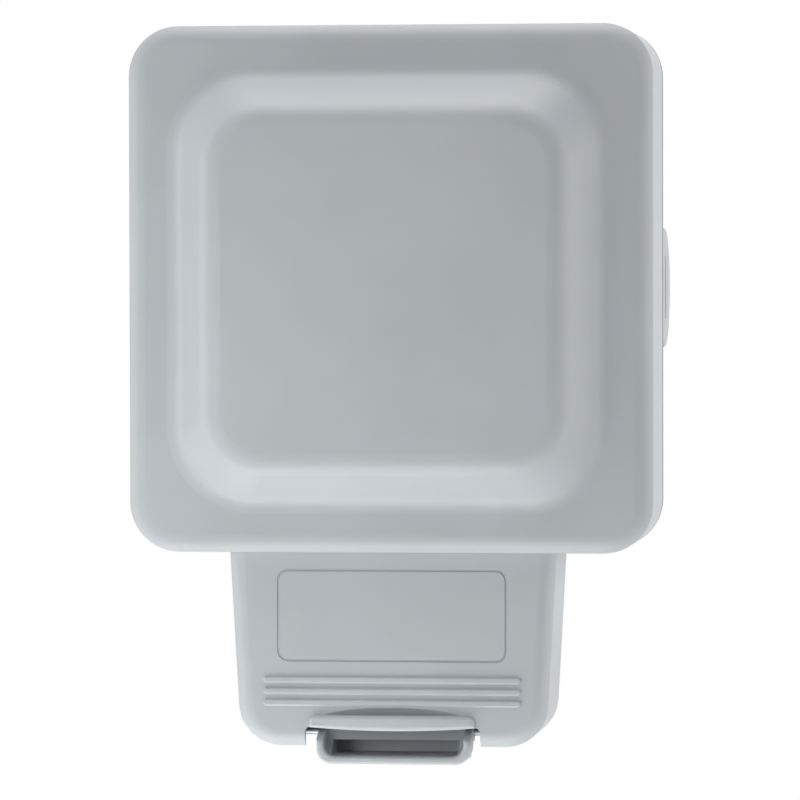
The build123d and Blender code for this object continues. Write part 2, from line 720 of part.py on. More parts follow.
def make_front_frame():
    cavity = square(BOX_HALF + CONTACT_GAP, BOX_CORNER + CONTACT_GAP)
    frame = slab(square(FRAME_HALF, FRAME_CORNER), FRAME_BACK, DECK_FRONT)
    frame = frame - slab(cavity, FRAME_BACK - OVERRUN, DECK_BACK)
    frame = frame + slab(collar_outline(0), DECK_FRONT - TRAY_FLOOR, DECK_FRONT)
    frame = frame + slab(collar_ring(COLLAR_WALL), DECK_FRONT, COLLAR_FRONT)
    window = (BASE_LEVELS[0] - WINDOW_ROOM, BASE_LEVELS[1] + WINDOW_ROOM)
    frame = frame - block(both(BASE_HALF + WINDOW_ROOM), (FRAME_BACK, COLLAR_FRONT), window)
    catch_levels = (CATCH_LEVEL, TRAY_BOTTOM + COLLAR_WALL / 2)
    frame = frame + block(both(HOOK_HALF), (CATCH_BACK, CATCH_BACK + CATCH_THICK), catch_levels)
    tray_wall = (TRAY_BOTTOM - OVERRUN, TRAY_BOTTOM + COLLAR_WALL + OVERRUN)
    for x in both(FLEX_X):
        span, depths = flex_notch(x, 0)
        frame = frame - block(span, (depths[0], depths[1] + OVERRUN), tray_wall)
    for span in knuckle_spans():
        web = around(HINGE_DEPTH, HINGE_BARREL)
        frame = frame + rod_x(HINGE_BARREL, span, HINGE_DEPTH, HINGE_LEVEL)
        frame = frame + block(span, web, (FRAME_HALF - FRAME_SKIRT / 2, HINGE_LEVEL))
        frame = frame - rod_x(HINGE_PIN + PIN_FIT, span, HINGE_DEPTH, HINGE_LEVEL)
    for x, z in corner_points(CORNER_SCREW):
        hole = rod_y(CORNER_SCREW_RADIUS + CONTACT_GAP, x, (FRAME_BACK, DECK_FRONT + OVERRUN), z)
        frame = frame - hole
    for x in both(PLATE_SCREW_X):
        frame = frame + rod_y(PLATE_BOSS, x, (PLATE_SCREW_BACK - OVERRUN, DECK_FRONT - OVERRUN), 0)
        hole = rod_y(PLATE_SCREW_RADIUS + PIN_FIT, x, (PLATE_SCREW_BACK - OVERRUN, DECK_FRONT), 0)
        frame = frame - hole
    return frame


def make_hinge_pin(x):
    half = LID_KNUCKLE / 2 + CONTACT_GAP + FRAME_KNUCKLE
    return rod_x(HINGE_PIN, around(x, half), HINGE_DEPTH, HINGE_LEVEL)


def make_flex_seal(x):
    """Rubber insert that clips over the tray wall, with a slit hole for the flex."""
    span, depths = flex_notch(x, 0)
    wide, deep = flex_notch(x, FLEX_FLANGE)
    low, high = TRAY_BOTTOM, TRAY_BOTTOM + COLLAR_WALL
    seal = block(span, depths, (low, high))
    seal = seal + block(wide, deep, (low - FLEX_FLANGE, low))
    seal = seal + block(wide, deep, (high, high + FLEX_FLANGE))
    through = (low - FLEX_FLANGE - OVERRUN, high + FLEX_FLANGE + OVERRUN)
    seal = seal - rod_z(FLEX_HOLE, x, FLEX_DEPTH, through)
    return seal - block(around(x, FLEX_SLIT / 2), (FLEX_DEPTH, COLLAR_FRONT + OVERRUN), through)


def make_frame_screws():
    levels = (CORNER_SCREW_BACK, DECK_FRONT, DECK_FRONT + CORNER_SCREW_RADIUS)
    return union([
        slotted_screw(CORNER_SCREW_RADIUS, CORNER_SCREW_HEAD, x, z, levels, 1)
        for x, z in corner_points(CORNER_SCREW)
    ])


def make_box_seal():
    inner = square(BOX_HALF - 2 * BOX_WALL, BOX_CORNER + BOX_SEAL_EASE)
    seal = slab(square(BOX_HALF, BOX_CORNER) - inner, BOX_FRONT, DECK_BACK)
    for x, z in corner_points(CORNER_SCREW):
        seal = seal - rod_y(CORNER_SCREW_RADIUS + CONTACT_GAP, x, (BOX_FRONT, DECK_BACK), z)
    return seal


# Back box and conduit plugs


def conduit_rod(radius, side, start, end):
    """Rod along a conduit entry: side -1 left, +1 right, 0 bottom."""
    if side == 0:
        return rod_z(radius, 0, CONDUIT_DEPTH, (-end, -start))
    return rod_x(radius, sorted((side * start, side * end)), CONDUIT_DEPTH, 0)


def make_back_box():
    inner_half = BOX_HALF - BOX_WALL
    outline = slab(square(BOX_HALF, BOX_CORNER), 0, BOX_FRONT)
    box = outline
    for side in (-1, 0, 1):
        box = box + conduit_rod(CONDUIT_BOSS, side, inner_half, CONDUIT_END)
    box = box - slab(square(inner_half, BOX_CORNER - BOX_WALL), BOX_FLOOR, BOX_FRONT + OVERRUN)
    pillars = [rod_y(PILLAR, x, (BOX_FLOOR / 2, BOX_FRONT), z) for x, z in corner_points(CORNER_SCREW)]
    box = box + (union(pillars) & outline)
    for x, z in corner_points(CORNER_SCREW):
        depths = (CORNER_SCREW_BACK - OVERRUN, BOX_FRONT + OVERRUN)
        box = box - rod_y(CORNER_SCREW_RADIUS + PIN_FIT, x, depths, z)
    for x, z in corner_points(FIXING_SPACING / 2):
        box = box + rod_y(FIXING_PAD, x, (BOX_FLOOR / 2, FIXING_PAD_FRONT), z)
        box = box - rod_y(FIXING_HOLE, x, (-OVERRUN, FIXING_PAD_FRONT + OVERRUN), z)
    for side in (-1, 0, 1):
        box = box - conduit_rod(CONDUIT_BORE, side, inner_half - OVERRUN, CONDUIT_END + OVERRUN)
    return box


def washer_ring(side):
    ring = conduit_rod(WASHER_RADII[1], side, CONDUIT_END, CONDUIT_END + WASHER_THICK)
    return ring - conduit_rod(WASHER_RADII[0], side, CONDUIT_END, CONDUIT_END + WASHER_THICK)


def make_blanking_plug(side):
    end = CONDUIT_END + PLUG_HEAD
    plug = conduit_rod(CONDUIT_BOSS, side, CONDUIT_END, end)
    outer_edge = [e for e in plug.edges() if abs(e.center().X - side * end) < 0.01]
    plug = chamfer(outer_edge, PLUG_CHAMFER)
    plug = plug + conduit_rod(CONDUIT_BORE - PIN_RUN, side, PLUG_BODY_END, CONDUIT_END)
    width, length, sink = PLUG_SLOT
    slot = sorted((side * (end - sink), side * (end + OVERRUN)))
    slot_cut = block(slot, around(CONDUIT_DEPTH, width / 2), both(length / 2))
    return plug - washer_ring(side) - slot_cut


def make_plug_washers():
    return washer_ring(-1) + washer_ring(1)


# Socket module


def pole_points():
    return [(x, POLE_LEVEL) for x in both(POLE_X)]


def posts():
    return [(x, POST_LEVEL) for x in both(POST_X)]


def make_faceplate():
    inside = square(PLATE_HALF - PLATE_SIDE, PLATE_CORNER - PLATE_SIDE)
    root = PLATE_FRONT - PLATE_WALL / 2
    front = PLATE_FRONT + OVERRUN
    plate = slab(square(PLATE_HALF, PLATE_CORNER), DECK_FRONT, PLATE_FRONT)
    plate = fillet(edges_at_depth(plate, PLATE_FRONT), PLATE_ROUND)
    plate = plate - slab(inside, DECK_FRONT - OVERRUN, PLATE_BACK)
    for x in both(PLATE_SCREW_X):
        plate = plate + rod_y(PLATE_COLUMN, x, (DECK_FRONT, root), 0)
        plate = plate - rod_y(PLATE_SCREW_RADIUS + CONTACT_GAP, x, (DECK_FRONT, PLATE_FRONT), 0)
        plate = plate - rod_y(PLATE_SCREW_HEAD + CONTACT_GAP, x, (PLATE_BACK, front), 0)
    for x, z in posts():
        plate = plate + rod_y(POST_RADIUS, x, (POST_BACK, root), z)
        depths = (POST_BACK - OVERRUN, BASE_SCREW_TIP + CONTACT_GAP)
        plate = plate - rod_y(BASE_SCREW_RADIUS + PIN_FIT, x, depths, z)
    plate = plate - slab(Pos(0, EARTH_LEVEL) * Rectangle(*EARTH_SLOT), DECK_FRONT, front)
    for x, z in pole_points():
        plate = plate - slab(Pos(x, z) * Rectangle(*POLE_SLOT), DECK_FRONT, front)
    window = Rectangle(2 * (ROCKER_HALF + ROCKER_WINDOW_GAP), 2 * POCKET_REACH)
    return plate - slab(Pos(0, ROCKER_LEVEL) * window, DECK_FRONT, front)


def make_faceplate_screws():
    levels = (PLATE_SCREW_BACK, PLATE_BACK, PLATE_FRONT - PLATE_SCREW_SINK)
    return union([
        slotted_screw(PLATE_SCREW_RADIUS, PLATE_SCREW_HEAD, x, 0, levels, 1)
        for x in both(PLATE_SCREW_X)
    ])


def contact_sites():
    """Each contact's place, leaf width, whether its leaves stand upright, and its fork's front."""
    poles = [(x, z, POLE_LEAF_WIDTH, False, POLE_FORK_FRONT) for x, z in pole_points()]
    return poles + [(0, EARTH_LEVEL, EARTH_LEAF_WIDTH, True, EARTH_FORK_FRONT)]


def fork_block(x, z, width, thick, upright, depths):
    """Block centred on a contact, measured across and through its leaves."""
    across, through = width / 2, thick / 2
    half_x, half_z = (through, across) if upright else (across, through)
    return block(around(x, half_x), depths, around(z, half_z))


def make_contact(site):
    x, z, width, upright, front = site
    outer = LEAF_GAP + 2 * LEAF_THICK
    inside = (FORK_BACK + LEAF_THICK, front + OVERRUN)
    contact = fork_block(x, z, width, outer, upright, (FORK_BACK, front))
    contact = contact - fork_block(x, z, width + OVERRUN, LEAF_GAP, upright, inside)
    terminal = block(around(x, TERMINAL_HALF), (TERMINAL_BACK, FORK_BACK), around(z, TERMINAL_HALF))
    contact = contact + terminal
    contact = contact - rod_z(WIRE_RADIUS, x, WIRE_DEPTH, around(z, TERMINAL_HALF + OVERRUN))
    screw_hole = (TERMINAL_BACK - OVERRUN, WIRE_DEPTH)
    return contact - rod_y(TERMINAL_SCREW_RADIUS + PIN_FIT, x, screw_hole, z)


def make_terminal_screws():
    levels = (TERMINAL_SCREW_TIP, TERMINAL_BACK, TERMINAL_BACK - TERMINAL_SCREW_RADIUS)
    return union([
        slotted_screw(TERMINAL_SCREW_RADIUS, TERMINAL_SCREW_HEAD, x, z, levels, -1)
        for x, z, *_ in contact_sites()
    ])


def switch_block(rise, height, length):
    """Brass bar rooted in the back of the switch pocket."""
    level = ROCKER_LEVEL + rise
    depths = (POCKET_BACK - SWITCH_ROOT, POCKET_BACK + length)
    return block(both(SWITCH_LEAF_HALF), depths, (level, level + height))


def make_switch_leaf():
    return switch_block(SWITCH_LEAF_RISE, SWITCH_LEAF_THICK, SWITCH_LEAF_LENGTH)


def make_switch_post():
    return switch_block(SWITCH_POST_RISE, SWITCH_POST_HEIGHT, SWITCH_POST_LENGTH)


def slide_space():
    """Room in the rear moulding for the shutter, its wedge and its spring."""
    gap = CONTACT_GAP
    front = PLATE_BACK + OVERRUN
    bottom = SHUTTER_BOTTOM - SHUTTER_TRAVEL - SLIDE_END
    plate = block(both(SHUTTER_HALF + gap), (SHUTTER_BACK - gap, front), (bottom, SLIDE_TOP))
    wedge_levels = (WEDGE_BOTTOM - SHUTTER_TRAVEL - gap, SLIDE_TOP)
    wedge = block(both(WEDGE_HALF + gap), (WEDGE_BACK - gap, front), wedge_levels)
    coil = SPRING_RADIUS + SPRING_WIRE + gap
    spring = block(both(coil), (SHUTTER_BACK - coil, front), (SPRING_BOTTOM, SHUTTER_BOTTOM))
    return plate + wedge + spring


def switch_space():
    """Pocket for the rocker, with open seats for its trunnions."""
    front = PLATE_BACK + OVERRUN
    seat = TRUNNION_RADIUS + PIN_RUN
    ends = both(TRUNNION_END + CONTACT_GAP)
    pocket_half = ROCKER_HALF + ROCKER_WINDOW_GAP
    pocket = block(both(pocket_half), (POCKET_BACK, front), around(ROCKER_LEVEL, POCKET_REACH))
    pocket = pocket + rod_x(seat, ends, ROCKER_PIVOT_DEPTH, ROCKER_LEVEL)
    return pocket + block(ends, (ROCKER_PIVOT_DEPTH, front), around(ROCKER_LEVEL, seat))


def make_socket_base():
    gap = CONTACT_GAP
    behind = BASE_BACK - OVERRUN
    base = block(both(BASE_HALF), (BASE_BACK, PLATE_BACK), BASE_LEVELS) - slide_space()
    for x, z, width, upright, _ in contact_sites():
        thick = LEAF_GAP + 2 * (LEAF_THICK + gap)
        half = TERMINAL_HALF + gap
        base = base - fork_block(x, z, width + 2 * gap, thick, upright, (FORK_BACK, SHUTTER_BACK))
        base = base - block(around(x, half), (behind, FORK_BACK), around(z, half))
        end = BASE_LEVELS[0] - OVERRUN if z < 0 else BASE_LEVELS[1] + OVERRUN
        channel = (behind, WIRE_DEPTH + WIRE_RADIUS)
        base = base - block(around(x, WIRE_RADIUS), channel, sorted((z, end)))
    for x, z in posts():
        base = base - rod_y(POST_RADIUS + gap, x, (POST_BACK, PLATE_BACK + OVERRUN), z)
        base = base - rod_y(BASE_SCREW_RADIUS + gap, x, (BASE_BACK, POST_BACK + OVERRUN), z)
        base = base - rod_y(BASE_SCREW_HEAD + gap, x, (behind, BASE_SCREW_SEAT), z)
    return base - switch_space() - make_switch_leaf() - make_switch_post()


def make_base_screws():
    levels = (BASE_SCREW_TIP, BASE_SCREW_SEAT, BASE_SCREW_SEAT - BASE_SCREW_HEAD_THICK)
    return union([
        slotted_screw(BASE_SCREW_RADIUS, BASE_SCREW_HEAD, x, z, levels, -1) for x, z in posts()
    ])


def make_shutter():
    depths = (SHUTTER_BACK, PLATE_BACK)
    shutter = block(both(SHUTTER_HALF), depths, (SHUTTER_BOTTOM, SHUTTER_TOP))
    window = Rectangle(*[size + SHUTTER_WINDOW_GROWTH for size in POLE_SLOT])
    for x, z in pole_points():
        opening = Pos(x, z + SHUTTER_TRAVEL) * window
        shutter = shutter - slab(opening, SHUTTER_BACK - OVERRUN, PLATE_BACK + OVERRUN)
    wedge = [
        (PLATE_BACK, SHUTTER_TOP),
        (WEDGE_BACK, SHUTTER_TOP + SHUTTER_TRAVEL),
        (WEDGE_BACK, WEDGE_BOTTOM),
        (PLATE_BACK, WEDGE_BOTTOM),
    ]
    return shutter + side_slice(wedge, both(WEDGE_HALF))


def make_shutter_spring():
    height = SPRING_LENGTH - 2 * SPRING_WIRE
    path = Helix(height / SPRING_TURNS, height, SPRING_RADIUS)
    return Pos(0, -SHUTTER_BACK, SPRING_BOTTOM + SPRING_WIRE) * coil_spring(path, SPRING_WIRE)


def make_switch_rocker():
    rise = ROCKER_FACE + ROCKER_RADIUS * math.tan(math.radians(ROCKER_TILT))
    profile = [
        (ROCKER_FACE, 0),
        (rise, ROCKER_RADIUS),
        (-ROCKER_REAR, ROCKER_RADIUS),
        (-ROCKER_REAR, -ROCKER_RADIUS),
        (rise, -ROCKER_RADIUS),
    ]
    span = both(ROCKER_HALF)
    rocker = side_slice(profile, span) & rod_x(ROCKER_RADIUS, span, 0, 0)
    stem = [
        (0, 2 * ROCKER_STEM_HALF),
        (0, -2 * ROCKER_STEM_HALF),
        (-ROCKER_STEM, -ROCKER_STEM_HALF),
        (-ROCKER_STEM, ROCKER_STEM_HALF),
    ]
    rocker = rocker + side_slice(stem, both(SWITCH_LEAF_HALF))
    rocker = rocker + rod_x(TRUNNION_RADIUS, both(TRUNNION_END), 0, 0)
    return Pos(0, -ROCKER_PIVOT_DEPTH, ROCKER_LEVEL) * Rot(-ROCKER_TILT, 0, 0) * rocker


PIECES = {
    "back_box": make_back_box(),
    "left_blanking_plug": make_blanking_plug(-1),
    "right_blanking_plug": make_blanking_plug(1),
    "plug_washers": make_plug_washers(),
    "box_seal": make_box_seal(),
    "front_frame": make_front_frame(),
    "frame_screws": make_frame_screws(),
    "left_flex_seal": make_flex_seal(-FLEX_X),
    "right_flex_seal": make_flex_seal(FLEX_X),
    "left_hinge_pin": make_hinge_pin(-HINGE_X),
    "right_hinge_pin": make_hinge_pin(HINGE_X),
    "faceplate": make_faceplate(),
    "faceplate_screws": make_faceplate_screws(),
    "socket_base": make_socket_base(),
    "base_screws": make_base_screws(),
    "neutral_contact": make_contact(contact_sites()[0]),
    "line_contact": make_contact(contact_sites()[1]),
    "earth_contact": make_contact(contact_sites()[2]),
    "terminal_screws": make_terminal_screws(),
    "switch_leaf": make_switch_leaf(),
    "switch_post": make_switch_post(),
    "shutter": make_shutter(),
    "shutter_spring": make_shutter_spring(),
    "switch_rocker": make_switch_rocker(),
    "lid": make_lid(),
    "lid_seal": make_lid_seal(),
    "latch": make_latch(),
    "latch_pin": make_latch_pin(),
    "latch_spring": make_latch_spring(),
}

for name, piece in PIECES.items():
    export_step(piece, f"parts/{name}.step")
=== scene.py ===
"""Looks of an outdoor weatherproof socket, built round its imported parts. Sizes are in metres."""

import json
import logging
import math
from collections.abc import Callable
from dataclasses import dataclass, field
from enum import Enum

import bmesh
import bpy
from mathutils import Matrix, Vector


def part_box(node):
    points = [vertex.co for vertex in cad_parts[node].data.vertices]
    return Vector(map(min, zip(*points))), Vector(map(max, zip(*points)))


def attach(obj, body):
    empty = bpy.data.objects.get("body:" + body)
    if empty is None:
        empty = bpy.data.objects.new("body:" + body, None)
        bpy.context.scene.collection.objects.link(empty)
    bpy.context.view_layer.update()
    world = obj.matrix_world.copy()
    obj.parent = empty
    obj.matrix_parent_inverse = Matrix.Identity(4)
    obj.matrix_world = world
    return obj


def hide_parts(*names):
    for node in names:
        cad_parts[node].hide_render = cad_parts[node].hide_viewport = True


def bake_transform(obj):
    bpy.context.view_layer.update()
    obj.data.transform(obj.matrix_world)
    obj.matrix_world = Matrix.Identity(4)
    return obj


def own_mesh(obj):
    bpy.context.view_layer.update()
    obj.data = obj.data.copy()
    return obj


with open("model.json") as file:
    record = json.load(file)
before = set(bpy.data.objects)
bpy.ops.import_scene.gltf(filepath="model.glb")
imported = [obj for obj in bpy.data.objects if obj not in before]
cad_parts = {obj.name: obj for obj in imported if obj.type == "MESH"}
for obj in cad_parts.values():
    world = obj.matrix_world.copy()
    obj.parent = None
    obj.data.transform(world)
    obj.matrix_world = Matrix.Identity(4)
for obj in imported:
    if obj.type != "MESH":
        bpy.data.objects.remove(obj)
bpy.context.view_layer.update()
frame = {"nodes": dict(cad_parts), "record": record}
LOG = logging.getLogger("socket")

Place = tuple[float, float, float]
Test = Callable[[Vector, Vector], bool]

MM = 0.001
ORIGIN: Place = (0.0, 0.0, 0.0)
# Places this close count as the same, and corners this close are merged.
NEAR = 0.001 * MM
MERGE = 0.002 * MM
# Cosines of what lies straight along an axis, and of what faces it at all.
STRAIGHT = 0.99
FACING = 0.5
# Angles between faces up to which they count as one, and from which their edge is sharp.
FLAT = math.radians(0.5)
SHARP = math.radians(35.0)
# Facets across an eased edge, and how much the large faces lead its shading, where 50 is even.
EASE_FACETS = 3
LARGE_FACE_WEIGHT = 60


class Body(Enum):
    """Bodies of the part that a piece can ride on."""

    ENCLOSURE = "enclosure"
    LID = "lid"
    LATCH = "latch"
    ROCKER = "rocker"
    SHUTTER = "shutter"


class Slot(Enum):
    """Material slots of the part's record."""

    LID = "lid_plastic"
    SHELL = "grey_plastic"
    PLATE = "plate_plastic"
    BASE = "base_plastic"
    SEAL = "seal_rubber"
    STEEL = "steel"
    BRASS = "brass"


class Along(Enum):
    """Axis that a round piece is modelled on, as the turn from upright to it."""

    X = (0.0, math.pi / 2, 0.0)
    Y = (math.pi / 2, 0.0, 0.0)


class Drive(Enum):
    """Recess in a screw's head, as its length over the head's radius."""

    CROSS = 1.1
    SLOT = 2.2


End = tuple[Body, Place]

RECORD = frame["record"]
SLOT_OF = {part["node"]: Slot(part["material_slot"]) for part in RECORD["subparts"]}
BODY_OF = {node: Body(name) for name, nodes in RECORD["behaviour"]["bodies"].items() for node in nodes}


# Materials


def linear(colour: str) -> tuple[float, float, float, float]:
    """Turn an sRGB hex colour into linear RGBA.

    Args:
        colour: Six hex digits after a hash sign.

    Returns:
        Linear red, green and blue, with full alpha.
    """
    parts = [int(colour[i : i + 2], 16) / 255 for i in (1, 3, 5)]
    flat = [c / 12.92 if c <= 0.04045 else ((c + 0.055) / 1.055) ** 2.4 for c in parts]
    return (*flat, 1.0)


def add_node(
    tree: bpy.types.NodeTree,
    kind: str,
    settings: dict | None = None,
    links: dict | None = None,
) -> bpy.types.Node:
    """Add a node, set its properties, sockets or colour stops, and link its inputs.

    Args:
        tree: Node tree that takes the node.
        kind: Blender's type name of the node.
        settings: Values by property name, or by input name or number. The stops of a ramp
            are colours by their place on it.
        links: Output sockets by input name or number.

    Returns:
        The new node.
    """
    node = tree.nodes.new(kind)
    for name, value in (settings or {}).items():
        if isinstance(name, int) or name in node.inputs:
            node.inputs[name].default_value = value
        elif name == "stops":
            for stop, (position, colour) in zip(node.color_ramp.elements, value.items()):
                stop.position = position
                stop.color = linear(colour)
        else:
            setattr(node, name, value)
    for name, source in (links or {}).items():
        tree.links.new(source, node.inputs[name])
    return node


def new_material(name: str) -> tuple[bpy.types.Material, bpy.types.NodeTree]:
    """Make an empty node material.

    Args:
        name: Name of the material.

    Returns:
        The material and its node tree.
    """
    material = bpy.data.materials.new(name)
    material.use_nodes = True
    material.node_tree.nodes.clear()
    return material, material.node_tree


@dataclass(frozen=True)
class Moulding:
    """Injection-moulded plastic or rubber: faint flow marks, a spark-eroded grain and eased edges.

    Attributes:
        name: Name of the material.
        colour: Main colour.
        shade: Colour of the flow marks.
        roughness: Least and most roughness over the grain.
        grain_mm: Width of a grain of the texture.
        depth_mm: Height of the grain.
        flow_mm: Length of a flow mark.
        edge_mm: Radius to which the tool's edges are polished.
        ior: Index of refraction.
    """

    name: str
    colour: str
    shade: str
    roughness: tuple[float, float]
    grain_mm: float
    depth_mm: float
    flow_mm: float = 26.0
    edge_mm: float = 0.2
    ior: float = 1.53

    def make(self) -> bpy.types.Material:
        """Build the node tree of the finish.

        Returns:
            The new material.
        """
        material, tree = new_material(self.name)
        place = add_node(tree, "ShaderNodeTexCoord").outputs["Object"]
        flow = add_node(
            tree,
            "ShaderNodeTexNoise",
            {"Scale": 1 / (self.flow_mm * MM), "Detail": 3.0, "Roughness": 0.55},
            {"Vector": place},
        )
        grain = add_node(
            tree,
            "ShaderNodeTexNoise",
            {"Scale": 1 / (self.grain_mm * MM), "Detail": 2.0, "Roughness": 0.6},
            {"Vector": place},
        )
        tint = add_node(
            tree,
            "ShaderNodeValToRGB",
            {"stops": {0.3: self.shade, 0.7: self.colour}},
            {"Fac": flow.outputs["Fac"]},
        )
        sheen = add_node(
            tree,
            "ShaderNodeMapRange",
            {"To Min": self.roughness[0], "To Max": self.roughness[1]},
            {"Value": grain.outputs["Fac"]},
        )
        edge = add_node(tree, "ShaderNodeBevel", {"samples": 4, "Radius": self.edge_mm * MM})
        bump = add_node(
            tree,
            "ShaderNodeBump",
            {"Strength": 1.0, "Distance": self.depth_mm * MM},
            {"Height": grain.outputs["Fac"], "Normal": edge.outputs["Normal"]},
        )
        shader = add_node(
            tree,
            "ShaderNodeBsdfPrincipled",
            {"IOR": self.ior},
            {
                "Base Color": tint.outputs["Color"],
                "Roughness": sheen.outputs["Result"],
                "Normal": bump.outputs["Normal"],
            },
        )
        add_node(tree, "ShaderNodeOutputMaterial", links={"Surface": shader.outputs["BSDF"]})
        return material


@dataclass(frozen=True)
class Metal:
    """Bare or plated metal with small stains and drawn or turned streaks.

    Attributes:
        name: Name of the material.
        colour: Bright colour of the metal.
        stain: Colour of the duller patches.
        roughness: Least and most roughness.
        streak_mm: Spacing of the streaks.
        stain_mm: Width of a patch.
        depth_mm: Height of a streak.
        stretch: Scale of the streaks along X, as a share of that across them.
    """

    name: str
    colour: str
    stain: str
    roughness: tuple[float, float]
    streak_mm: float
    stain_mm: float = 3.0
    depth_mm: float = 0.006
    stretch: float = 0.15

    def make(self) -> bpy.types.Material:
        """Build the node tree of the finish.

        Returns:
            The new material.
        """
        material, tree = new_material(self.name)
        place = add_node(tree, "ShaderNodeTexCoord").outputs["Object"]
        patches = add_node(
            tree,
            "ShaderNodeTexNoise",
            {"Scale": 1 / (self.stain_mm * MM), "Detail": 4.0},
            {"Vector": place},
        )
        scale = (self.stretch, 1.0, 1.0)
        along = add_node(tree, "ShaderNodeMapping", {"Scale": scale}, {"Vector": place})
        streaks = add_node(
            tree,
            "ShaderNodeTexNoise",
            {"Scale": 1 / (self.streak_mm * MM), "Detail": 2.0},
            {"Vector": along.outputs["Vector"]},
        )
        tint = add_node(
            tree,
            "ShaderNodeValToRGB",
            {"stops": {0.35: self.stain, 0.6: self.colour}},
            {"Fac": patches.outputs["Fac"]},
        )
        dull = add_node(
            tree,
            "ShaderNodeMapRange",
            {"To Min": self.roughness[0], "To Max": self.roughness[1]},
            {"Value": streaks.outputs["Fac"]},
        )
        bump = add_node(
            tree,
            "ShaderNodeBump",
            {"Strength": 1.0, "Distance": self.depth_mm * MM},
            {"Height": streaks.outputs["Fac"]},
        )
        shader = add_node(
            tree,
            "ShaderNodeBsdfPrincipled",
            {"Metallic": 1.0},
            {
                "Base Color": tint.outputs["Color"],
                "Roughness": dull.outputs["Result"],
                "Normal": bump.outputs["Normal"],
            },
        )
        add_node(tree, "ShaderNodeOutputMaterial", links={"Surface": shader.outputs["BSDF"]})
        return material


Finish = Moulding | Metal

# The real grain of a tool and streaks of a metal are about 0.1 mm wide. They are drawn coarser to show.

# Light grey ABS, moulded in a spark-eroded tool: satin, cool grey, with a barely seen grain.
LID_PLASTIC = Moulding(
    "light_grey_abs", "#B9BEC2", "#B4B9BD", (0.4, 0.52), grain_mm=0.45, depth_mm=0.006, edge_mm=0.1
)
# The same ABS behind the lid, in a slightly coarser tool.
SHELL_PLASTIC = Moulding(
    "light_grey_abs_shell", "#B4B9BD", "#AEB3B7", (0.42, 0.56), grain_mm=0.5, depth_mm=0.009
)
# Urea of the socket plate: smoother and glossier than the shell.
PLATE_PLASTIC = Moulding(
    "grey_urea_plate", "#C3C7CA", "#BFC3C6", (0.2, 0.27), grain_mm=0.6, depth_mm=0.002
)
# Off-white nylon behind the plate, plain from the tool.
BASE_PLASTIC = Moulding(
    "off_white_nylon", "#D8D6CC", "#CFCDC2", (0.42, 0.55), grain_mm=0.7, depth_mm=0.008
)
# Black EPDM rubber: matt, with a grey bloom.
SEAL_RUBBER = Moulding(
    "black_epdm", "#2A2B2C", "#353637", (0.62, 0.8), grain_mm=0.35, depth_mm=0.012, flow_mm=9.0
)
# Red pad-printing ink on the rocker: even and half glossy.
RED_INK = Moulding(
    "red_pad_print",
    "#B3261E",
    "#A8221B",
    (0.3, 0.4),
    grain_mm=0.3,
    depth_mm=0.002,
    flow_mm=4.0,
    edge_mm=0.05,
)
# Zinc-plated steel screws and pins: pale, half dull.
ZINC_STEEL = Metal("zinc_plated_steel", "#A6A9AB", "#85898C", (0.26, 0.44), streak_mm=0.35)
# Brass of the contacts: warm, with a little tarnish.
CONTACT_BRASS = Metal("contact_brass", "#D9B566", "#B58E45", (0.2, 0.38), streak_mm=0.4)

FINISHES: dict[Slot, Finish] = {
    Slot.LID: LID_PLASTIC,
    Slot.SHELL: SHELL_PLASTIC,
    Slot.PLATE: PLATE_PLASTIC,
    Slot.BASE: BASE_PLASTIC,
    Slot.SEAL: SEAL_RUBBER,
    Slot.STEEL: ZINC_STEEL,
    Slot.BRASS: CONTACT_BRASS,
}


@dataclass
class Palette:
    """The part's finishes, each built once.

    Attributes:
        made: Materials built so far, by their finish.
    """

    made: dict[Finish, bpy.types.Material] = field(default_factory=dict)

    def dress(self, obj: bpy.types.Object, finish: Finish) -> None:
        """Give an object one material.

        Args:
            obj: Object to dress.
            finish: Finish to give it.
        """
        if finish not in self.made:
            self.made[finish] = finish.make()
        obj.data.materials.clear()
        obj.data.materials.append(self.made[finish])


# Modelling


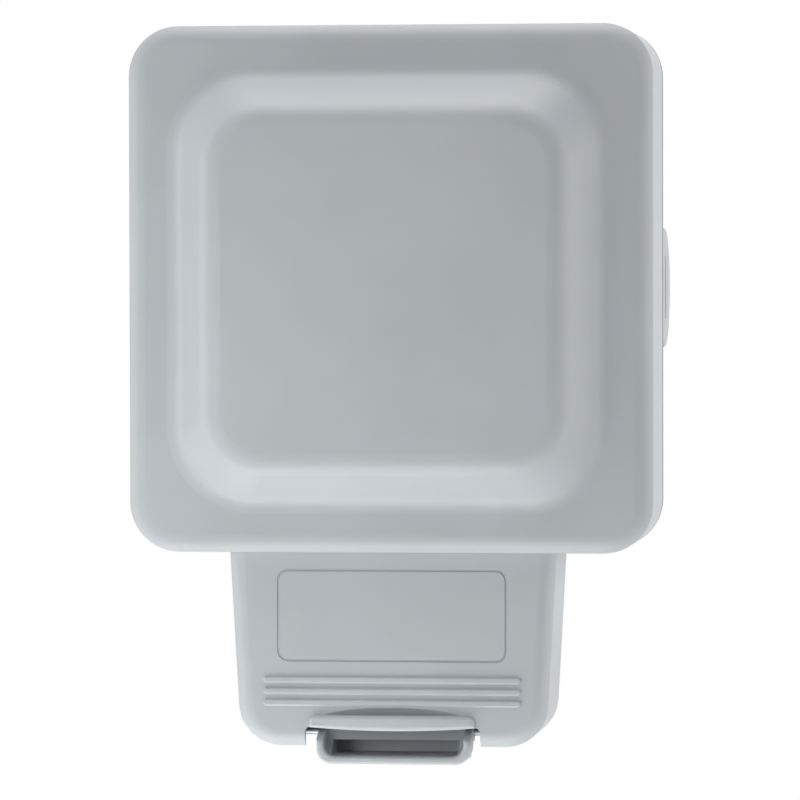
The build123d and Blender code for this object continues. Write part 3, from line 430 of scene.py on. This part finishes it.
class Piece:
    """A mesh under work, shaped with Blender's modelling operators.

    Attributes:
        obj: Object that holds the mesh.
    """

    def __init__(self, obj: bpy.types.Object, name: str) -> None:
        """Take over an object and name it."""
        self.obj = obj
        obj.name = obj.data.name = name

    @classmethod
    def rod(
        cls, name: str, along: Along, radius: float, length: float, middle: Place, sides: int
    ) -> "Piece":
        """Start from a cylinder.

        Args:
            name: Name of the piece.
            along: Axis of the cylinder.
            radius: Its radius.
            length: Its length.
            middle: Its middle.
            sides: Facets round it.

        Returns:
            The new piece.
        """
        bpy.ops.object.select_all(action="DESELECT")
        bpy.ops.mesh.primitive_cylinder_add(
            vertices=sides, radius=radius, depth=length, location=middle, rotation=along.value
        )
        bpy.ops.object.transform_apply(location=True, rotation=True, scale=True)
        return cls(bpy.context.active_object, name)

    @classmethod
    def block(cls, name: str, size: Place, middle: Place) -> "Piece":
        """Start from a cuboid.

        Args:
            name: Name of the piece.
            size: Its width, depth and height.
            middle: Its middle.

        Returns:
            The new piece.
        """
        bpy.ops.object.select_all(action="DESELECT")
        bpy.ops.mesh.primitive_cube_add(size=1.0, location=middle, scale=size)
        bpy.ops.object.transform_apply(location=True, rotation=True, scale=True)
        return cls(bpy.context.active_object, name)

    @classmethod
    def of_node(cls, name: str, node: str) -> "Piece":
        """Start from a copy of a CAD node with its triangles merged.

        Args:
            name: Name of the piece.
            node: CAD node to copy.

        Returns:
            The new piece.
        """
        obj = bpy.data.objects.new(name, frame["nodes"][node].data.copy())
        bpy.context.scene.collection.objects.link(obj)
        piece = cls(obj, name)
        piece.choose()
        bpy.ops.mesh.customdata_custom_splitnormals_clear()
        piece.edit()
        bpy.ops.mesh.select_all(action="SELECT")
        bpy.ops.mesh.remove_doubles(threshold=MERGE)
        bpy.ops.mesh.dissolve_limited(angle_limit=FLAT)
        piece.leave()
        return piece

    def choose(self) -> None:
        """Make this piece the only selected object and the active one."""
        bpy.ops.object.select_all(action="DESELECT")
        self.obj.select_set(True)
        bpy.context.view_layer.objects.active = self.obj

    def edit(self) -> None:
        """Enter edit mode with nothing selected."""
        self.choose()
        bpy.ops.object.mode_set(mode="EDIT")
        bpy.ops.mesh.select_all(action="DESELECT")

    def leave(self) -> None:
        """Leave edit mode."""
        bpy.ops.object.mode_set(mode="OBJECT")

    def faces(self, test: Test) -> None:
        """Select the faces that pass a test.

        Args:
            test: Test of a face's middle and normal.
        """
        bpy.ops.mesh.select_mode(type="FACE")
        bpy.ops.mesh.select_all(action="DESELECT")
        mesh = bmesh.from_edit_mesh(self.obj.data)
        for face in mesh.faces:
            if test(face.calc_center_median(), face.normal):
                face.select_set(True)
        bmesh.update_edit_mesh(self.obj.data)

    def edges(self, test: Test) -> None:
        """Select the edges that pass a test.

        Args:
            test: Test of an edge's middle and direction.
        """
        bpy.ops.mesh.select_mode(type="EDGE")
        bpy.ops.mesh.select_all(action="DESELECT")
        mesh = bmesh.from_edit_mesh(self.obj.data)
        for edge in mesh.edges:
            start, end = (vert.co for vert in edge.verts)
            if test((start + end) / 2, (end - start).normalized()):
                edge.select_set(True)
        bmesh.update_edit_mesh(self.obj.data)

    def extrude(self, shift: Place = ORIGIN) -> None:
        """Extrude the selected faces and move them."""
        bpy.ops.mesh.extrude_region_move(TRANSFORM_OT_translate={"value": shift})

    def resize(self, scale: Place, centre: Place = ORIGIN) -> None:
        """Scale what is selected about a point."""
        bpy.ops.transform.resize(value=scale, center_override=centre)

    def bevel(self, width: float, segments: int) -> None:
        """Round the selected edges."""
        bpy.ops.mesh.bevel(offset=width, segments=segments, profile=0.5, affect="EDGES")

    def bisect(self, point: Place, normal: Place) -> None:
        """Cut away all that lies beyond a plane."""
        bpy.ops.mesh.select_all(action="SELECT")
        bpy.ops.mesh.bisect(plane_co=point, plane_no=normal, clear_outer=True)

    def carve(self, cutter: "Piece") -> None:
        """Cut another piece's shape out of this one and delete that piece.

        Args:
            cutter: Piece to cut with.
        """
        self.choose()
        cut = self.obj.modifiers.new("carve", "BOOLEAN")
        cut.operation, cut.solver, cut.object = "DIFFERENCE", "EXACT", cutter.obj
        bpy.ops.object.modifier_apply(modifier=cut.name)
        bpy.data.objects.remove(cutter.obj)

    def ease(self, width: float) -> None:
        """Round every sharp edge and keep the flat faces flat.

        Args:
            width: Width of the rounding.
        """
        self.choose()
        bpy.ops.object.shade_smooth()
        bevel = self.obj.modifiers.new("ease", "BEVEL")
        bevel.width, bevel.segments = width, EASE_FACETS
        bevel.limit_method, bevel.angle_limit = "ANGLE", SHARP
        bpy.ops.object.modifier_apply(modifier=bevel.name)
        flat = self.obj.modifiers.new("flat", "WEIGHTED_NORMAL")
        flat.weight = LARGE_FACE_WEIGHT
        bpy.ops.object.modifier_apply(modifier=flat.name)

    def tidy(self) -> None:
        """Turn the faces outwards and shade them smooth between the sharp edges."""
        self.edit()
        bpy.ops.mesh.select_all(action="SELECT")
        bpy.ops.mesh.normals_make_consistent(inside=False)
        self.leave()
        bpy.ops.object.shade_smooth_by_angle(angle=SHARP)

    def copy_to(self, name: str, shift: Place, turn: float = 0.0) -> "Piece":
        """Copy the piece with a mesh of its own, turn the copy on the front axis and move it.

        Args:
            name: Name of the copy.
            shift: Way from the piece to the copy.
            turn: Turn in degrees.

        Returns:
            The copy.
        """
        self.choose()
        bpy.ops.object.duplicate(linked=False)
        copy = Piece(bpy.context.active_object, name)
        bpy.ops.transform.rotate(value=math.radians(turn), orient_axis="Y", center_override=ORIGIN)
        bpy.ops.transform.translate(value=shift)
        bpy.ops.object.transform_apply(location=True, rotation=True, scale=True)
        return copy


@dataclass(frozen=True)
class Screw:
    """Pan-head screw with rolled threads, modelled at the origin with its head to the front.

    Attributes:
        shank: Radius over the threads.
        head: Radius of the head.
        rise: Height of the head.
        length: Length under the head.
        drive: Recess in the head.
        pitch: Spacing of the threads.
        root: Radius between the threads, as a share of the radius over them.
        taper: Thread depths by which the tip narrows.
        rim: Rounding of the head's rim, as a share of its height.
        sink: Depth of the recess, as a share of the head's height.
        blade: Width of the recess, as a share of the head's radius.
        foot: Size of the recess at its foot, as a share of that at its mouth.
        sides: Facets round the screw.
    """

    shank: float
    head: float
    rise: float
    length: float
    drive: Drive
    pitch: float = 0.8 * MM
    root: float = 0.84
    taper: int = 4
    rim: float = 0.6
    sink: float = 0.65
    blade: float = 0.24
    foot: float = 0.7
    sides: int = 40

    def model(self, name: str) -> Piece:
        """Model the screw.

        Args:
            name: Name of the piece.

        Returns:
            The finished screw, seated at the origin.
        """
        middle = (0.0, self.length / 2, 0.0)
        piece = Piece.rod(name, Along.Y, self.shank, self.length, middle, self.sides)
        piece.edit()
        self.roll_threads(piece)
        self.raise_head(piece)
        piece.leave()
        self.cut_recess(piece)
        piece.tidy()
        return piece

    def roll_threads(self, piece: Piece) -> None:
        """Divide the shank into rings, sink every second one and taper the tip.

        Args:
            piece: Screw under work.
        """
        rings = 2 * int(self.length / self.pitch)
        step = self.length / rings
        tip = self.root**self.taper

        def is_root(middle: Vector, way: Vector) -> bool:
            """Tell the edges round the odd rings from the rest."""
            return abs(way.y) < 1 - STRAIGHT and round(middle.y / step) % 2 == 1

        piece.edges(lambda middle, way: abs(way.y) > STRAIGHT)
        bpy.ops.mesh.subdivide(number_cuts=rings - 1)
        piece.edges(is_root)
        piece.resize((self.root, 1.0, self.root))
        piece.faces(lambda middle, normal: normal.y > STRAIGHT)
        piece.resize((tip, 1.0, tip))

    def raise_head(self, piece: Piece) -> None:
        """Draw the head out of the shank and round its rim.

        Args:
            piece: Screw under work.
        """
        spread = self.head / self.shank
        piece.faces(lambda middle, normal: normal.y < -STRAIGHT and middle.y < NEAR)
        piece.extrude()
        piece.resize((spread, 1.0, spread))
        piece.extrude((0.0, -self.rise, 0.0))
        piece.edges(lambda middle, way: middle.y < NEAR - self.rise)
        piece.bevel(self.rim * self.rise, segments=4)

    def cut_recess(self, piece: Piece) -> None:
        """Sink the driver's recess, narrower at its foot.

        Args:
            piece: Screw under work.
        """
        depth = self.sink * self.rise
        length = self.drive.value * self.head
        width = self.blade * self.head
        sizes = [(length, 2 * depth, width)]
        if self.drive is Drive.CROSS:
            sizes.append((width, 2 * depth, length))
        for size in sizes:
            cutter = Piece.block("driver_blade", size, (0.0, -self.rise, 0.0))
            cutter.edit()
            cutter.faces(lambda middle, normal: normal.y > STRAIGHT)
            cutter.resize((self.foot, 1.0, self.foot), (0.0, depth - self.rise, 0.0))
            cutter.leave()
            piece.carve(cutter)


# Sub-assemblies


@dataclass
class SubAssembly:
    """What the sub-assemblies share: dressing CAD nodes and standing pieces in for them.

    Attributes:
        palette: Finishes to dress with.
    """

    palette: Palette

    def carry(self, *nodes: str) -> None:
        """Keep CAD nodes as they are and give each the finish of its slot.

        Args:
            nodes: CAD nodes to keep.
        """
        for node in nodes:
            self.palette.dress(frame["nodes"][node], FINISHES[SLOT_OF[node]])
            LOG.info("carried over %s", node)

    def stand_in(self, piece: Piece, node: str) -> None:
        """Let a finished piece stand for a CAD node, on its body and in its finish.

        Args:
            piece: Finished piece.
            node: CAD node that it stands for.
        """
        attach(piece.obj, BODY_OF[node].value)
        self.take_place(piece, node)

    def bend(self, piece: Piece, node: str, start: End, end: End) -> None:
        """Let a finished piece stand for a springy CAD node, with its place baked into its mesh.

        Args:
            piece: Finished piece.
            node: CAD node that it stands for.
            start: Body and place of one end; not used.
            end: Body and place of the other end; not used.
        """
        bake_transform(piece.obj)
        self.take_place(piece, node)

    def take_place(self, piece: Piece, node: str) -> None:
        """Give a piece the finish of a CAD node's slot, and hide the node.

        Args:
            piece: Finished piece.
            node: CAD node that it stands for.
        """
        self.palette.dress(piece.obj, FINISHES[SLOT_OF[node]])
        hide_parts(node)
        LOG.info("modelled %s", piece.obj.name)

    def add(self, piece: Piece, body: Body, slot: Slot, finish: Finish) -> None:
        """Add a finished piece that stands for no CAD node.

        Args:
            piece: Finished piece.
            body: Body that it rides on.
            slot: Record slot of what it belongs to; not used.
            finish: Finish to give it.
        """
        self.palette.dress(piece.obj, finish)
        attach(piece.obj, body.value)
        LOG.info("added %s", piece.obj.name)

    def soften(self, width: float, *nodes: str) -> None:
        """Stand copies with rounded edges in for CAD nodes.

        Args:
            width: Width of the rounding.
            nodes: CAD nodes to copy.
        """
        for node in nodes:
            piece = Piece.of_node(f"{node}_eased", node)
            piece.ease(width)
            self.stand_in(piece, node)

    def drive_screws(
        self, screw: Screw, node: str, rows: tuple[float, ...], turns: tuple[float, ...]
    ) -> None:
        """Model a screw once and stand its copies in for a node of screws, left and right in rows.

        Args:
            screw: Screw to model.
            node: CAD node of the screws.
            rows: Height of each row, as a share of the screws' distance from the middle.
            turns: How far each screw is driven round, in degrees.
        """
        low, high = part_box(node)
        seat = low.y + screw.rise
        reach = high.x - screw.head
        places = [(x, seat, row * reach) for x in (-reach, reach) for row in rows]
        pattern = screw.model(f"{node}_pattern")
        for number, (place, turn) in enumerate(zip(places, turns), 1):
            self.stand_in(pattern.copy_to(f"{node}_{number}", place, turn), node)
        bpy.data.objects.remove(pattern.obj)


@dataclass
class LidGroup(SubAssembly):
    """Lid with its gasket, latch, latch pin and spring.

    Attributes:
        seal_ease: Rounding of the gasket's lips.
        pin_ease: Rounding of the pin's ends.
        rim_round: Rounding of the rim of the latch's finger scoop.
        latch_ease: Rounding of the latch's other edges.
        mark_radius: Radius of an ejector mark inside the lid.
        mark_rise: Height of a mark.
        mark_rim: Width of its rim, as a share of its radius.
        mark_sink: Depth of its middle, as a share of its height.
        mark_reach: Distance of the marks from the middle, each way.
        floor: Depth of the hollow behind the raised panel.
        coil_length: Length of the latch spring's coil between its legs.
    """

    seal_ease: float = 0.7 * MM
    pin_ease: float = 0.35 * MM
    rim_round: float = 0.75 * MM
    latch_ease: float = 0.3 * MM
    mark_radius: float = 3.2 * MM
    mark_rise: float = 0.25 * MM
    mark_rim: float = 0.12
    mark_sink: float = 0.5
    mark_reach: float = 27.0 * MM
    floor: float = 78.5 * MM
    coil_length: float = 4.0 * MM

    def build(self) -> None:
        """Build and dress the lid's pieces."""
        self.carry("lid")
        self.soften(self.seal_ease, "lid_seal")
        self.soften(self.pin_ease, "latch_pin")
        self.latch()
        self.latch_spring()
        self.ejector_marks()

    def latch_spring(self) -> None:
        """Stand a tidied copy of the latch spring in for its node, where it stands."""
        half = self.coil_length / 2
        piece = Piece.of_node("latch_spring_coil", "latch_spring")
        piece.tidy()
        self.bend(piece, "latch_spring", (Body.LATCH, (-half, 0.0, 0.0)), (Body.LID, (half, 0.0, 0.0)))

    def latch(self) -> None:
        """Round the rim of the finger scoop on a copy of the latch, and ease its other edges."""
        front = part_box("latch")[0].y
        piece = Piece.of_node("latch_rounded", "latch")
        piece.edit()
        piece.edges(lambda middle, way: middle.y < front + NEAR)
        piece.bevel(self.rim_round, segments=4)
        piece.leave()
        piece.ease(self.latch_ease)
        self.stand_in(piece, "latch")

    def ejector_marks(self) -> None:
        """Model the round marks that the mould's ejector pins leave inside the lid."""
        centre = (0.0, self.mark_rise / 2, 0.0)
        pattern = Piece.rod("ejector_mark", Along.Y, self.mark_radius, self.mark_rise, centre, sides=48)
        pattern.edit()
        pattern.faces(lambda middle, normal: normal.y > STRAIGHT)
        bpy.ops.mesh.inset(thickness=self.mark_rim * self.mark_radius)
        pattern.extrude((0.0, -self.mark_sink * self.mark_rise, 0.0))
        pattern.leave()
        pattern.tidy()
        ends = (-self.mark_reach, self.mark_reach)
        places = [(x, -self.floor, z) for x in ends for z in ends]
        for number, place in enumerate(places, 1):
            mark = pattern.copy_to(f"lid_ejector_mark_{number}", place)
            self.add(mark, Body.LID, Slot.LID, LID_PLASTIC)
        bpy.data.objects.remove(pattern.obj)


@dataclass
class WallBox(SubAssembly):
    """Wall box with its gasket and the blanking plugs in its side bosses.

    Attributes:
        seal_ease: Rounding of the gasket.
        washer_ease: Rounding of the washers under the plugs.
        plug_head: Thickness of a plug's head.
        plug_body: Radius of the plug's body in the boss.
        plug_round: Rounding of the head.
        coin_slot: Length, width and depth of the slot for a coin.
    """

    seal_ease: float = 0.4 * MM
    washer_ease: float = 0.2 * MM
    plug_head: float = 2.2 * MM
    plug_body: float = 10.0 * MM
    plug_round: float = 0.9 * MM
    coin_slot: Place = (15.0 * MM, 1.8 * MM, 1.2 * MM)

    def build(self) -> None:
        """Build and dress the wall box's pieces."""
        self.carry("back_box")
        self.soften(self.seal_ease, "box_seal")
        self.soften(self.washer_ease, "plug_washers")
        self.blanking_plug("left_blanking_plug", -1)
        self.blanking_plug("right_blanking_plug", 1)

    def blanking_plug(self, node: str, side: int) -> None:
        """Model a blanking plug: body, rounded head and a coin slot.

        Args:
            node: CAD node that it stands for.
            side: Sign of the way that the head faces along X.
        """
        low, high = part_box(node)
        radius = (high.z - low.z) / 2
        depth = (low.y + high.y) / 2
        outer, inner = (high.x, low.x) if side > 0 else (low.x, high.x)
        under = outer - side * self.plug_head
        spread = radius / self.plug_body
        centre = ((inner + under) / 2, depth, 0.0)
        length = abs(under - inner)
        piece = Piece.rod(f"{node}_turned", Along.X, self.plug_body, length, centre, sides=96)
        piece.edit()
        piece.faces(lambda middle, normal: side * normal.x > STRAIGHT)
        piece.extrude()
        piece.resize((1.0, spread, spread), (under, depth, 0.0))
        piece.extrude((side * self.plug_head, 0.0, 0.0))
        piece.edges(lambda middle, way: side * (middle.x - outer) > -NEAR)
        piece.bevel(self.plug_round, segments=5)
        piece.leave()
        reach, width, sink = self.coin_slot
        piece.carve(Piece.block("coin", (2 * sink, width, reach), (outer, depth, 0.0)))
        piece.tidy()
        self.stand_in(piece, node)


@dataclass
class FrontFrame(SubAssembly):
    """Front frame with its screws, hinge pins and flex seals.

    Attributes:
        screw: Frame screw.
        rows: Height of each row of screws, as a share of their distance from the middle.
        turns: How far each screw is driven round, in degrees.
        pin_ease: Rounding of the hinge pins' ends.
        seal_ease: Rounding of the flex seals.
    """

    screw: Screw = Screw(
        shank=1.5 * MM,
        head=3.0 * MM,
        rise=1.5 * MM,
        length=22.0 * MM,
        drive=Drive.CROSS,
        pitch=1.0 * MM,
    )
    rows: tuple[float, ...] = (-1.0, 1.0)
    turns: tuple[float, ...] = (12.0, 47.0, 71.0, 33.0)
    pin_ease: float = 0.4 * MM
    seal_ease: float = 0.3 * MM

    def build(self) -> None:
        """Build and dress the frame's pieces."""
        self.carry("front_frame")
        self.soften(self.pin_ease, "left_hinge_pin", "right_hinge_pin")
        self.soften(self.seal_ease, "left_flex_seal", "right_flex_seal")
        self.drive_screws(self.screw, "frame_screws", self.rows, self.turns)


@dataclass
class SocketModule(SubAssembly):
    """Switched socket: plate, screws, rocker, shutter and the contacts behind them.

    Attributes:
        screw: Screw that holds the plate.
        rows: Height of the row of screws, as a share of their distance from the middle.
        turns: How far each screw is driven round, in degrees.
        plate_ease: Rounding of the plate's edges.
        rocker_ease: Rounding of the rocker's edges.
        small_ease: Rounding of the small pieces behind the plate.
        mark_size: Width and height of the mark that shows when the switch is on.
        mark_drop: Distance of the mark from the rocker's top.
        mark_rise: Thickness of its ink, drawn thicker than it is so that it shows.
        leaf_cuts: Cuts across the switch leaf, where it bends.
    """

    screw: Screw = Screw(
        shank=1.75 * MM,
        head=3.4 * MM,
        rise=2.0 * MM,
        length=14.6 * MM,
        drive=Drive.SLOT,
    )
    rows: tuple[float, ...] = (0.0,)
    turns: tuple[float, ...] = (4.0, 86.0)
    plate_ease: float = 0.5 * MM
    rocker_ease: float = 0.45 * MM
    small_ease: float = 0.2 * MM
    mark_size: tuple[float, float] = (6.0 * MM, 1.6 * MM)
    mark_drop: float = 2.4 * MM
    mark_rise: float = 0.04 * MM
    leaf_cuts: int = 9

    def build(self) -> None:
        """Build and dress the socket's pieces."""
        self.carry("socket_base", "base_screws")
        self.carry("neutral_contact", "line_contact", "earth_contact", "terminal_screws")
        self.soften(self.plate_ease, "faceplate")
        self.soften(self.rocker_ease, "switch_rocker")
        self.soften(self.small_ease, "shutter", "switch_post")
        self.drive_screws(self.screw, "faceplate_screws", self.rows, self.turns)
        self.on_mark()
        self.shutter_spring()
        self.switch_leaf()

    def shutter_spring(self) -> None:
        """Stand a tidied copy of the shutter spring in for its node, with a mesh of its own."""
        piece = Piece.of_node("shutter_spring_coil", "shutter_spring")
        piece.tidy()
        self.stand_in(piece, "shutter_spring")
        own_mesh(piece.obj)

    def switch_leaf(self) -> None:
        """Divide the leaf along its length and stand it in for its node."""
        low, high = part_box("switch_leaf")
        piece = Piece.of_node("switch_leaf_strip", "switch_leaf")
        piece.edit()
        piece.edges(lambda middle, way: abs(way.y) > STRAIGHT)
        bpy.ops.mesh.subdivide(number_cuts=self.leaf_cuts)
        piece.leave()
        piece.tidy()
        fixed = (Body.ENCLOSURE, (0.0, high.y, high.z))
        free = (Body.ROCKER, (0.0, low.y, high.z))
        self.bend(piece, "switch_leaf", fixed, free)

    def on_mark(self) -> None:
        """Raise the red mark from a patch of the rocker's own face."""
        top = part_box("switch_rocker")[1].z - self.mark_drop
        width, height = self.mark_size
        half = width / 2
        piece = Piece.of_node("rocker_on_mark", "switch_rocker")
        piece.edit()
        piece.bisect((half, 0.0, 0.0), (1.0, 0.0, 0.0))
        piece.bisect((-half, 0.0, 0.0), (-1.0, 0.0, 0.0))
        piece.bisect((0.0, 0.0, top), (0.0, 0.0, 1.0))
        piece.bisect((0.0, 0.0, top - height), (0.0, 0.0, -1.0))
        piece.faces(lambda middle, normal: normal.y > -FACING)
        bpy.ops.mesh.delete(type="FACE")
        bpy.ops.mesh.select_all(action="SELECT")
        piece.extrude((0.0, -self.mark_rise, 0.0))
        piece.leave()
        piece.tidy()
        self.add(piece, Body.ROCKER, Slot.PLATE, RED_INK)


# Studio


def seen_directly(tree: bpy.types.NodeTree) -> bpy.types.NodeSocket:
    """Tell the rays of the camera, mirrors and glass from those that carry light.

    Args:
        tree: Node tree that takes the nodes.

    Returns:
        Output that is 1 for those rays and 0 for the rest.
    """
    path = add_node(tree, "ShaderNodeLightPath")
    plain = add_node(
        tree,
        "ShaderNodeMath",
        {"operation": "MAXIMUM"},
        {0: path.outputs["Is Camera Ray"], 1: path.outputs["Is Glossy Ray"]},
    )
    every = add_node(
        tree,
        "ShaderNodeMath",
        {"operation": "MAXIMUM"},
        {0: plain.outputs[0], 1: path.outputs["Is Transmission Ray"]},
    )
    return every.outputs[0]


@dataclass(frozen=True)
class Lamp:
    """Soft box that faces the part.

    Attributes:
        name: Name of the lamp.
        place: Where it stands.
        size: Width and height.
        power: Power in watts.
    """

    name: str
    place: Place
    size: tuple[float, float]
    power: float

    def add(self, aim: Vector) -> None:
        """Stand the lamp in the scene and turn it to a point.

        Args:
            aim: Point that it faces.
        """
        data = bpy.data.lights.new(self.name, "AREA")
        data.shape = "RECTANGLE"
        data.size, data.size_y = self.size
        data.energy = self.power
        lamp = bpy.data.objects.new(self.name, data)
        bpy.context.scene.collection.objects.link(lamp)
        lamp.location = self.place
        way = aim - Vector(self.place)
        lamp.rotation_euler = way.to_track_quat("-Z", "Y").to_euler()
        lamp.visible_camera = False


LAMPS = (
    Lamp("left_box", (-0.7, -0.2, 0.0), (0.5, 0.7), 2.4),
    Lamp("left_front", (-0.2, -0.45, -0.04), (0.15, 0.2), 0.3),
    Lamp("left_near", (-0.14, -0.3, -0.05), (0.12, 0.2), 0.12),
    Lamp("right_box", (0.7, -0.2, 0.0), (0.5, 0.7), 2.05),
    Lamp("right_rear", (0.6, 0.25, 0.0), (0.5, 0.7), 1.6),
    Lamp("top_box", (0.0, -0.2, 0.7), (0.7, 0.5), 3.3),
    Lamp("top_rear", (0.0, 0.15, 0.7), (0.7, 0.5), 1.7),
    Lamp("rear_box", (-0.55, 0.8, 0.1), (0.5, 0.6), 4.0),
    Lamp("low_near", (-0.05, -0.15, -0.3), (0.3, 0.15), 0.4),
)


@dataclass
class Studio:
    """White studio: camera, soft lamps, pale floor and white surroundings.

    Attributes:
        target: Point at the middle of the picture.
        aim: Point that the lamps face.
        distance: Distance from the camera to the target.
        yaw: Angle of the camera to the right of straight ahead, in degrees.
        pitch: Angle of the camera above the level, in degrees.
        roll: Turn of the picture, in degrees.
        lens: Focal length in millimetres.
        sensor: Width of the sensor in millimetres.
        clip: Nearest and furthest distance that the camera sees.
        ambient: Strength of the surroundings as light.
        floor_level: Height of the floor.
        floor_size: Side of the floor.
        floor_paint: Colour of the floor.
        floor_glow: Share of the floor's paleness that doesn't depend on the lamps.
    """

    target: Place = (0.0026, -0.070, -0.0256)
    aim: Place = (0.0, -0.06, -0.02)
    distance: float = 1.25
    yaw: float = 7.19
    pitch: float = 1.42
    roll: float = 0.12
    lens: float = 243.8
    sensor: float = 36.0
    clip: tuple[float, float] = (0.01, 100.0)
    ambient: float = 0.01
    floor_level: float = -0.4
    floor_size: float = 4.0
    floor_paint: str = "#FBFBFA"
    floor_glow: float = 0.9

    def build(self) -> None:
        """Set up the whole studio."""
        bpy.context.scene.view_settings.view_transform = "Standard"
        self.camera()
        for lamp in LAMPS:
            lamp.add(Vector(self.aim))
        self.surroundings()
        self.floor()

    def camera(self) -> None:
        """Add the camera and make it the scene's own."""
        data = bpy.data.cameras.new("camera")
        data.lens = self.lens
        data.sensor_width = self.sensor
        data.clip_start, data.clip_end = self.clip
        camera = bpy.data.objects.new("camera", data)
        bpy.context.scene.collection.objects.link(camera)
        turn, rise = math.radians(self.yaw), math.radians(self.pitch)
        flat = Vector((math.sin(turn), -math.cos(turn), 0.0))
        back = flat * math.cos(rise) + Vector((0.0, 0.0, math.sin(rise)))
        camera.location = Vector(self.target) + back * self.distance
        camera.rotation_euler = (-back).to_track_quat("-Z", "Y").to_euler()
        camera.rotation_euler.rotate_axis("Z", math.radians(-self.roll))
        bpy.context.scene.camera = camera

    def surroundings(self) -> None:
        """Make the world: white to look at and in reflections, dimmer as light."""
        world = bpy.data.worlds.new("white_studio")
        world.use_nodes = True
        tree = world.node_tree
        tree.nodes.clear()
        white = (1.0, 1.0, 1.0, 1.0)
        light = add_node(tree, "ShaderNodeBackground", {"Color": white, "Strength": self.ambient})
        view = add_node(tree, "ShaderNodeBackground", {"Color": white, "Strength": 1.0})
        mix = add_node(
            tree,
            "ShaderNodeMixShader",
            links={
                "Fac": seen_directly(tree),
                1: light.outputs["Background"],
                2: view.outputs["Background"],
            },
        )
        add_node(tree, "ShaderNodeOutputWorld", links={"Surface": mix.outputs[0]})
        bpy.context.scene.world = world

    def floor(self) -> None:
        """Lay the pale floor below the picture."""
        bpy.ops.object.select_all(action="DESELECT")
        bpy.ops.mesh.primitive_plane_add(size=self.floor_size, location=(0.0, 0.0, self.floor_level))
        floor = bpy.context.active_object
        floor.name = "pale_floor"
        material, tree = new_material("pale_floor_paint")
        pale = linear(self.floor_paint)
        paint = add_node(tree, "ShaderNodeBsdfPrincipled", {"Base Color": pale, "Roughness": 0.7})
        glow = add_node(tree, "ShaderNodeEmission", {"Color": pale, "Strength": 1.0})
        share = add_node(
            tree,
            "ShaderNodeMath",
            {"operation": "MULTIPLY", 1: self.floor_glow},
            {0: seen_directly(tree)},
        )
        mix = add_node(
            tree,
            "ShaderNodeMixShader",
            links={"Fac": share.outputs[0], 1: paint.outputs["BSDF"], 2: glow.outputs["Emission"]},
        )
        add_node(tree, "ShaderNodeOutputMaterial", links={"Surface": mix.outputs[0]})
        floor.data.materials.append(material)


def main() -> None:
    """Build the sub-assemblies and the studio round them."""
    logging.basicConfig(level=logging.INFO, format="%(name)s: %(message)s")
    palette = Palette()
    for group in (WallBox, FrontFrame, SocketModule, LidGroup):
        group(palette).build()
    Studio().build()


if __name__ == "__main__":
    main()
